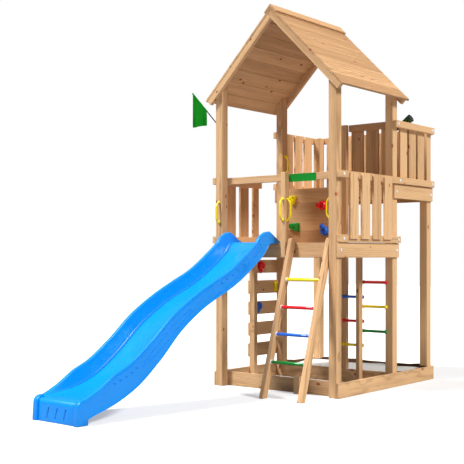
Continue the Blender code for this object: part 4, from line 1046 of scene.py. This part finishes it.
def make_fastenings(sizes, white):
    """White caps over the bolts, on the sides and the back."""
    skin = WIDTH + BOARD
    rail = WIDTH + RAIL
    spots = [(skin, 0.045, 1.401), (skin, 1.097, 1.401), (rail, 0.065, 1.513), (rail, 1.097, 1.513),
             (rail, 0.065, 2.123), (rail, 1.130, 2.123), (rail, 1.833, 2.123), (rail, 1.097, 2.705),
             (rail, 1.833, 2.705), (skin, 1.097, 2.007), (skin, 1.833, 2.007)]
    radius, height = sizes.cap_radius, sizes.cap_height
    model = turned([(radius, 0.0003), (radius, height * 0.35), (radius * 0.93, height * 0.65),
                    (radius * 0.72, height * 0.9), (radius * 0.35, height), (radius * 0.05, height)], 24)
    groups = {"right": [], "left": [], "rear": []}
    for x, y, z in spots:
        if not (2.1 < z < 2.2 and y < 1.0):
            groups["left"].append((WIDTH - x, y, z, -90))
        groups["right"].append((x, y, z, 90))
    groups["left"].append((-RAIL, 0.065, 2.123, -90))
    for x in (0.045, WIDTH - 0.045):
        for out, z in ((RAIL, 2.123), (RAIL, 2.705), (BOARD, 2.007)):
            groups["rear"].append((x, FULL_DEPTH + out, z, None))
    for side, places in groups.items():
        caps = []
        for x, y, z, turn in places:
            caps.append(laid(copy_of(model), (-90, 0, 0) if turn is None else (0, turn, 0), at(x, y, z)))
        seat(joined(caps), "bolt_caps_" + side, white)
    bpy.data.objects.remove(model, do_unlink=True)


def make_plate():
    """The bare plate on the front rail, with rounded corners and a sunk face."""
    plate = block(at(1.040, 0.0881, 2.117), (0.320, 0.0035, 0.078))
    choose(plate, "edges", lambda edge: abs((edge.verts[0].co - edge.verts[1].co).y) > 0.002)
    bpy.ops.mesh.bevel(offset=0.008, segments=5, affect="EDGES")
    choose(plate, "faces", lambda face: face.normal.y < -0.9)
    bpy.ops.mesh.inset(thickness=0.003)
    bpy.ops.transform.translate(value=(0, 0.0006, 0))
    clear_selection()
    seat(plate, "front_plate", moulded_paint("plate_moulding", GREEN_PLATE, 0.26, 0.2))


def make_stage():
    """Pale floor, soft light and the camera. The floor and the backdrop are brighter to the camera than as light."""
    clear_selection()
    bpy.ops.mesh.primitive_plane_add(size=60, location=(0, 0, -0.0005))
    floor = bpy.context.object
    floor.name = "floor"
    paint = Paint("floor_white")
    tone = paint.noise(paint.vector(*paint.tower()), 0.6, 2.0)
    pale = paint.mix(tone, grey(0.66), grey(0.69))
    seen = paint.wire("ShaderNodeLightPath", output="Is Camera Ray")
    paint.feed(paint.shader.inputs["Emission Color"], paint.mix(seen, grey(0), grey(0.40)))
    floor.data.materials.append(paint.finish(paint.mix(seen, grey(0.34), pale), 0.9,
                                             specular_ior_level=0.1, emission_strength=1.0))
    world = bpy.data.worlds.new("studio")
    world.use_nodes = True
    nodes = world.node_tree.nodes
    background = nodes["Background"]
    backdrop = nodes.new("ShaderNodeBackground")
    seen = nodes.new("ShaderNodeLightPath")
    blend = nodes.new("ShaderNodeMixShader")
    for shade, strength in ((background, SKY_STRENGTH), (backdrop, 1.0)):
        shade.inputs[0].default_value = (*grey(1.0), 1.0)
        shade.inputs[1].default_value = strength
    for source, socket in ((seen.outputs["Is Camera Ray"], blend.inputs[0]), (background.outputs[0], blend.inputs[1]),
                           (backdrop.outputs[0], blend.inputs[2]),
                           (blend.outputs[0], nodes["World Output"].inputs[0])):
        world.node_tree.links.new(source, socket)
    scene = bpy.context.scene
    scene.world = world
    scene.view_settings.view_transform = "Standard"
    for name, energy, turn in LIGHTS:
        bpy.ops.object.light_add(type="SUN", rotation=[math.radians(a) for a in turn])
        light = bpy.context.object
        light.name = name
        light.data.energy = energy
        light.data.angle = math.radians(LIGHT_SPREAD)
    bpy.ops.object.camera_add(location=CAMERA_PLACE, rotation=(math.radians(90), 0, math.radians(CAMERA_TURN)))
    camera = bpy.context.object
    camera.data.lens = CAMERA_LENS
    camera.data.shift_y = CAMERA_SHIFT
    camera.data.clip_end = 200
    scene.camera = camera


class TOWER_OT_timber(bpy.types.Operator):
    """Give every timber its grain"""

    bl_idname = "tower.timber"
    bl_label = "Timber"

    def execute(self, context):
        finish_timber()
        return {"FINISHED"}


class TOWER_OT_slide(bpy.types.Operator):
    """Make the wave slide"""

    bl_idname = "tower.slide"
    bl_label = "Slide"

    def execute(self, context):
        make_slide(context.scene.tower_sizes, context.scene.tower_colours)
        return {"FINISHED"}


class TOWER_OT_mouldings(bpy.types.Operator):
    """Make the grab handles and climbing holds"""

    bl_idname = "tower.mouldings"
    bl_label = "Handles and Holds"

    def execute(self, context):
        colours = context.scene.tower_colours
        paints = {key: moulded_paint("moulding_" + key, getattr(colours, key)) for key in HUES}
        make_handles(context.scene.tower_sizes, paints["yellow"])
        make_holds(paints)
        return {"FINISHED"}


class TOWER_OT_rungs(bpy.types.Operator):
    """Make the rungs, their collars and the bolt caps"""

    bl_idname = "tower.rungs"
    bl_label = "Rungs and Caps"

    def execute(self, context):
        colours = context.scene.tower_colours
        enamels = {key: enamel_paint("enamel_" + key, getattr(colours, key)) for key in HUES}
        white = moulded_paint("moulding_white", CAP_WHITE, 0.3, 0.1)
        make_rungs(context.scene.tower_sizes, enamels, white)
        make_fastenings(context.scene.tower_sizes, white)
        return {"FINISHED"}


class TOWER_OT_telescope(bpy.types.Operator):
    """Make the toy telescope"""

    bl_idname = "tower.telescope"
    bl_label = "Telescope"

    def execute(self, context):
        make_telescope()
        return {"FINISHED"}


class TOWER_OT_cloth(bpy.types.Operator):
    """Make the flag, the sandpit and the plate"""

    bl_idname = "tower.cloth"
    bl_label = "Flag, Sand and Plate"

    def execute(self, context):
        make_flag()
        make_sandpit(context.scene.tower_colours)
        make_plate()
        return {"FINISHED"}


class TOWER_OT_stage(bpy.types.Operator):
    """Set up the floor, light and camera"""

    bl_idname = "tower.stage"
    bl_label = "Stage"

    def execute(self, context):
        make_stage()
        return {"FINISHED"}


class TOWER_PT_finish(bpy.types.Panel):
    """Lists the tower's pieces"""

    bl_label = "Play Tower"
    bl_space_type = "VIEW_3D"
    bl_region_type = "UI"
    bl_category = "Play Tower"

    def draw(self, context):
        for kind in OPERATORS:
            self.layout.operator(kind.bl_idname)
        for group in (context.scene.tower_sizes, context.scene.tower_colours):
            for key in group.bl_rna.properties.keys():
                if key not in ("rna_type", "name"):
                    self.layout.prop(group, key)


OPERATORS = (TOWER_OT_stage, TOWER_OT_timber, TOWER_OT_slide, TOWER_OT_mouldings, TOWER_OT_rungs,
             TOWER_OT_telescope, TOWER_OT_cloth)
CLASSES = (TowerSizes, TowerColours, *OPERATORS, TOWER_PT_finish)


def register():
    for kind in CLASSES:
        bpy.utils.register_class(kind)
    bpy.types.Scene.tower_sizes = PointerProperty(type=TowerSizes)
    bpy.types.Scene.tower_colours = PointerProperty(type=TowerColours)


def unregister():
    del bpy.types.Scene.tower_colours
    del bpy.types.Scene.tower_sizes
    for kind in reversed(CLASSES):
        bpy.utils.unregister_class(kind)


def main():
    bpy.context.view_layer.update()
    register()
    bpy.ops.tower.stage()
    bpy.ops.tower.timber()
    bpy.ops.tower.slide()
    bpy.ops.tower.mouldings()
    bpy.ops.tower.rungs()
    bpy.ops.tower.telescope()
    bpy.ops.tower.cloth()


if __name__ == "__main__":
    main()
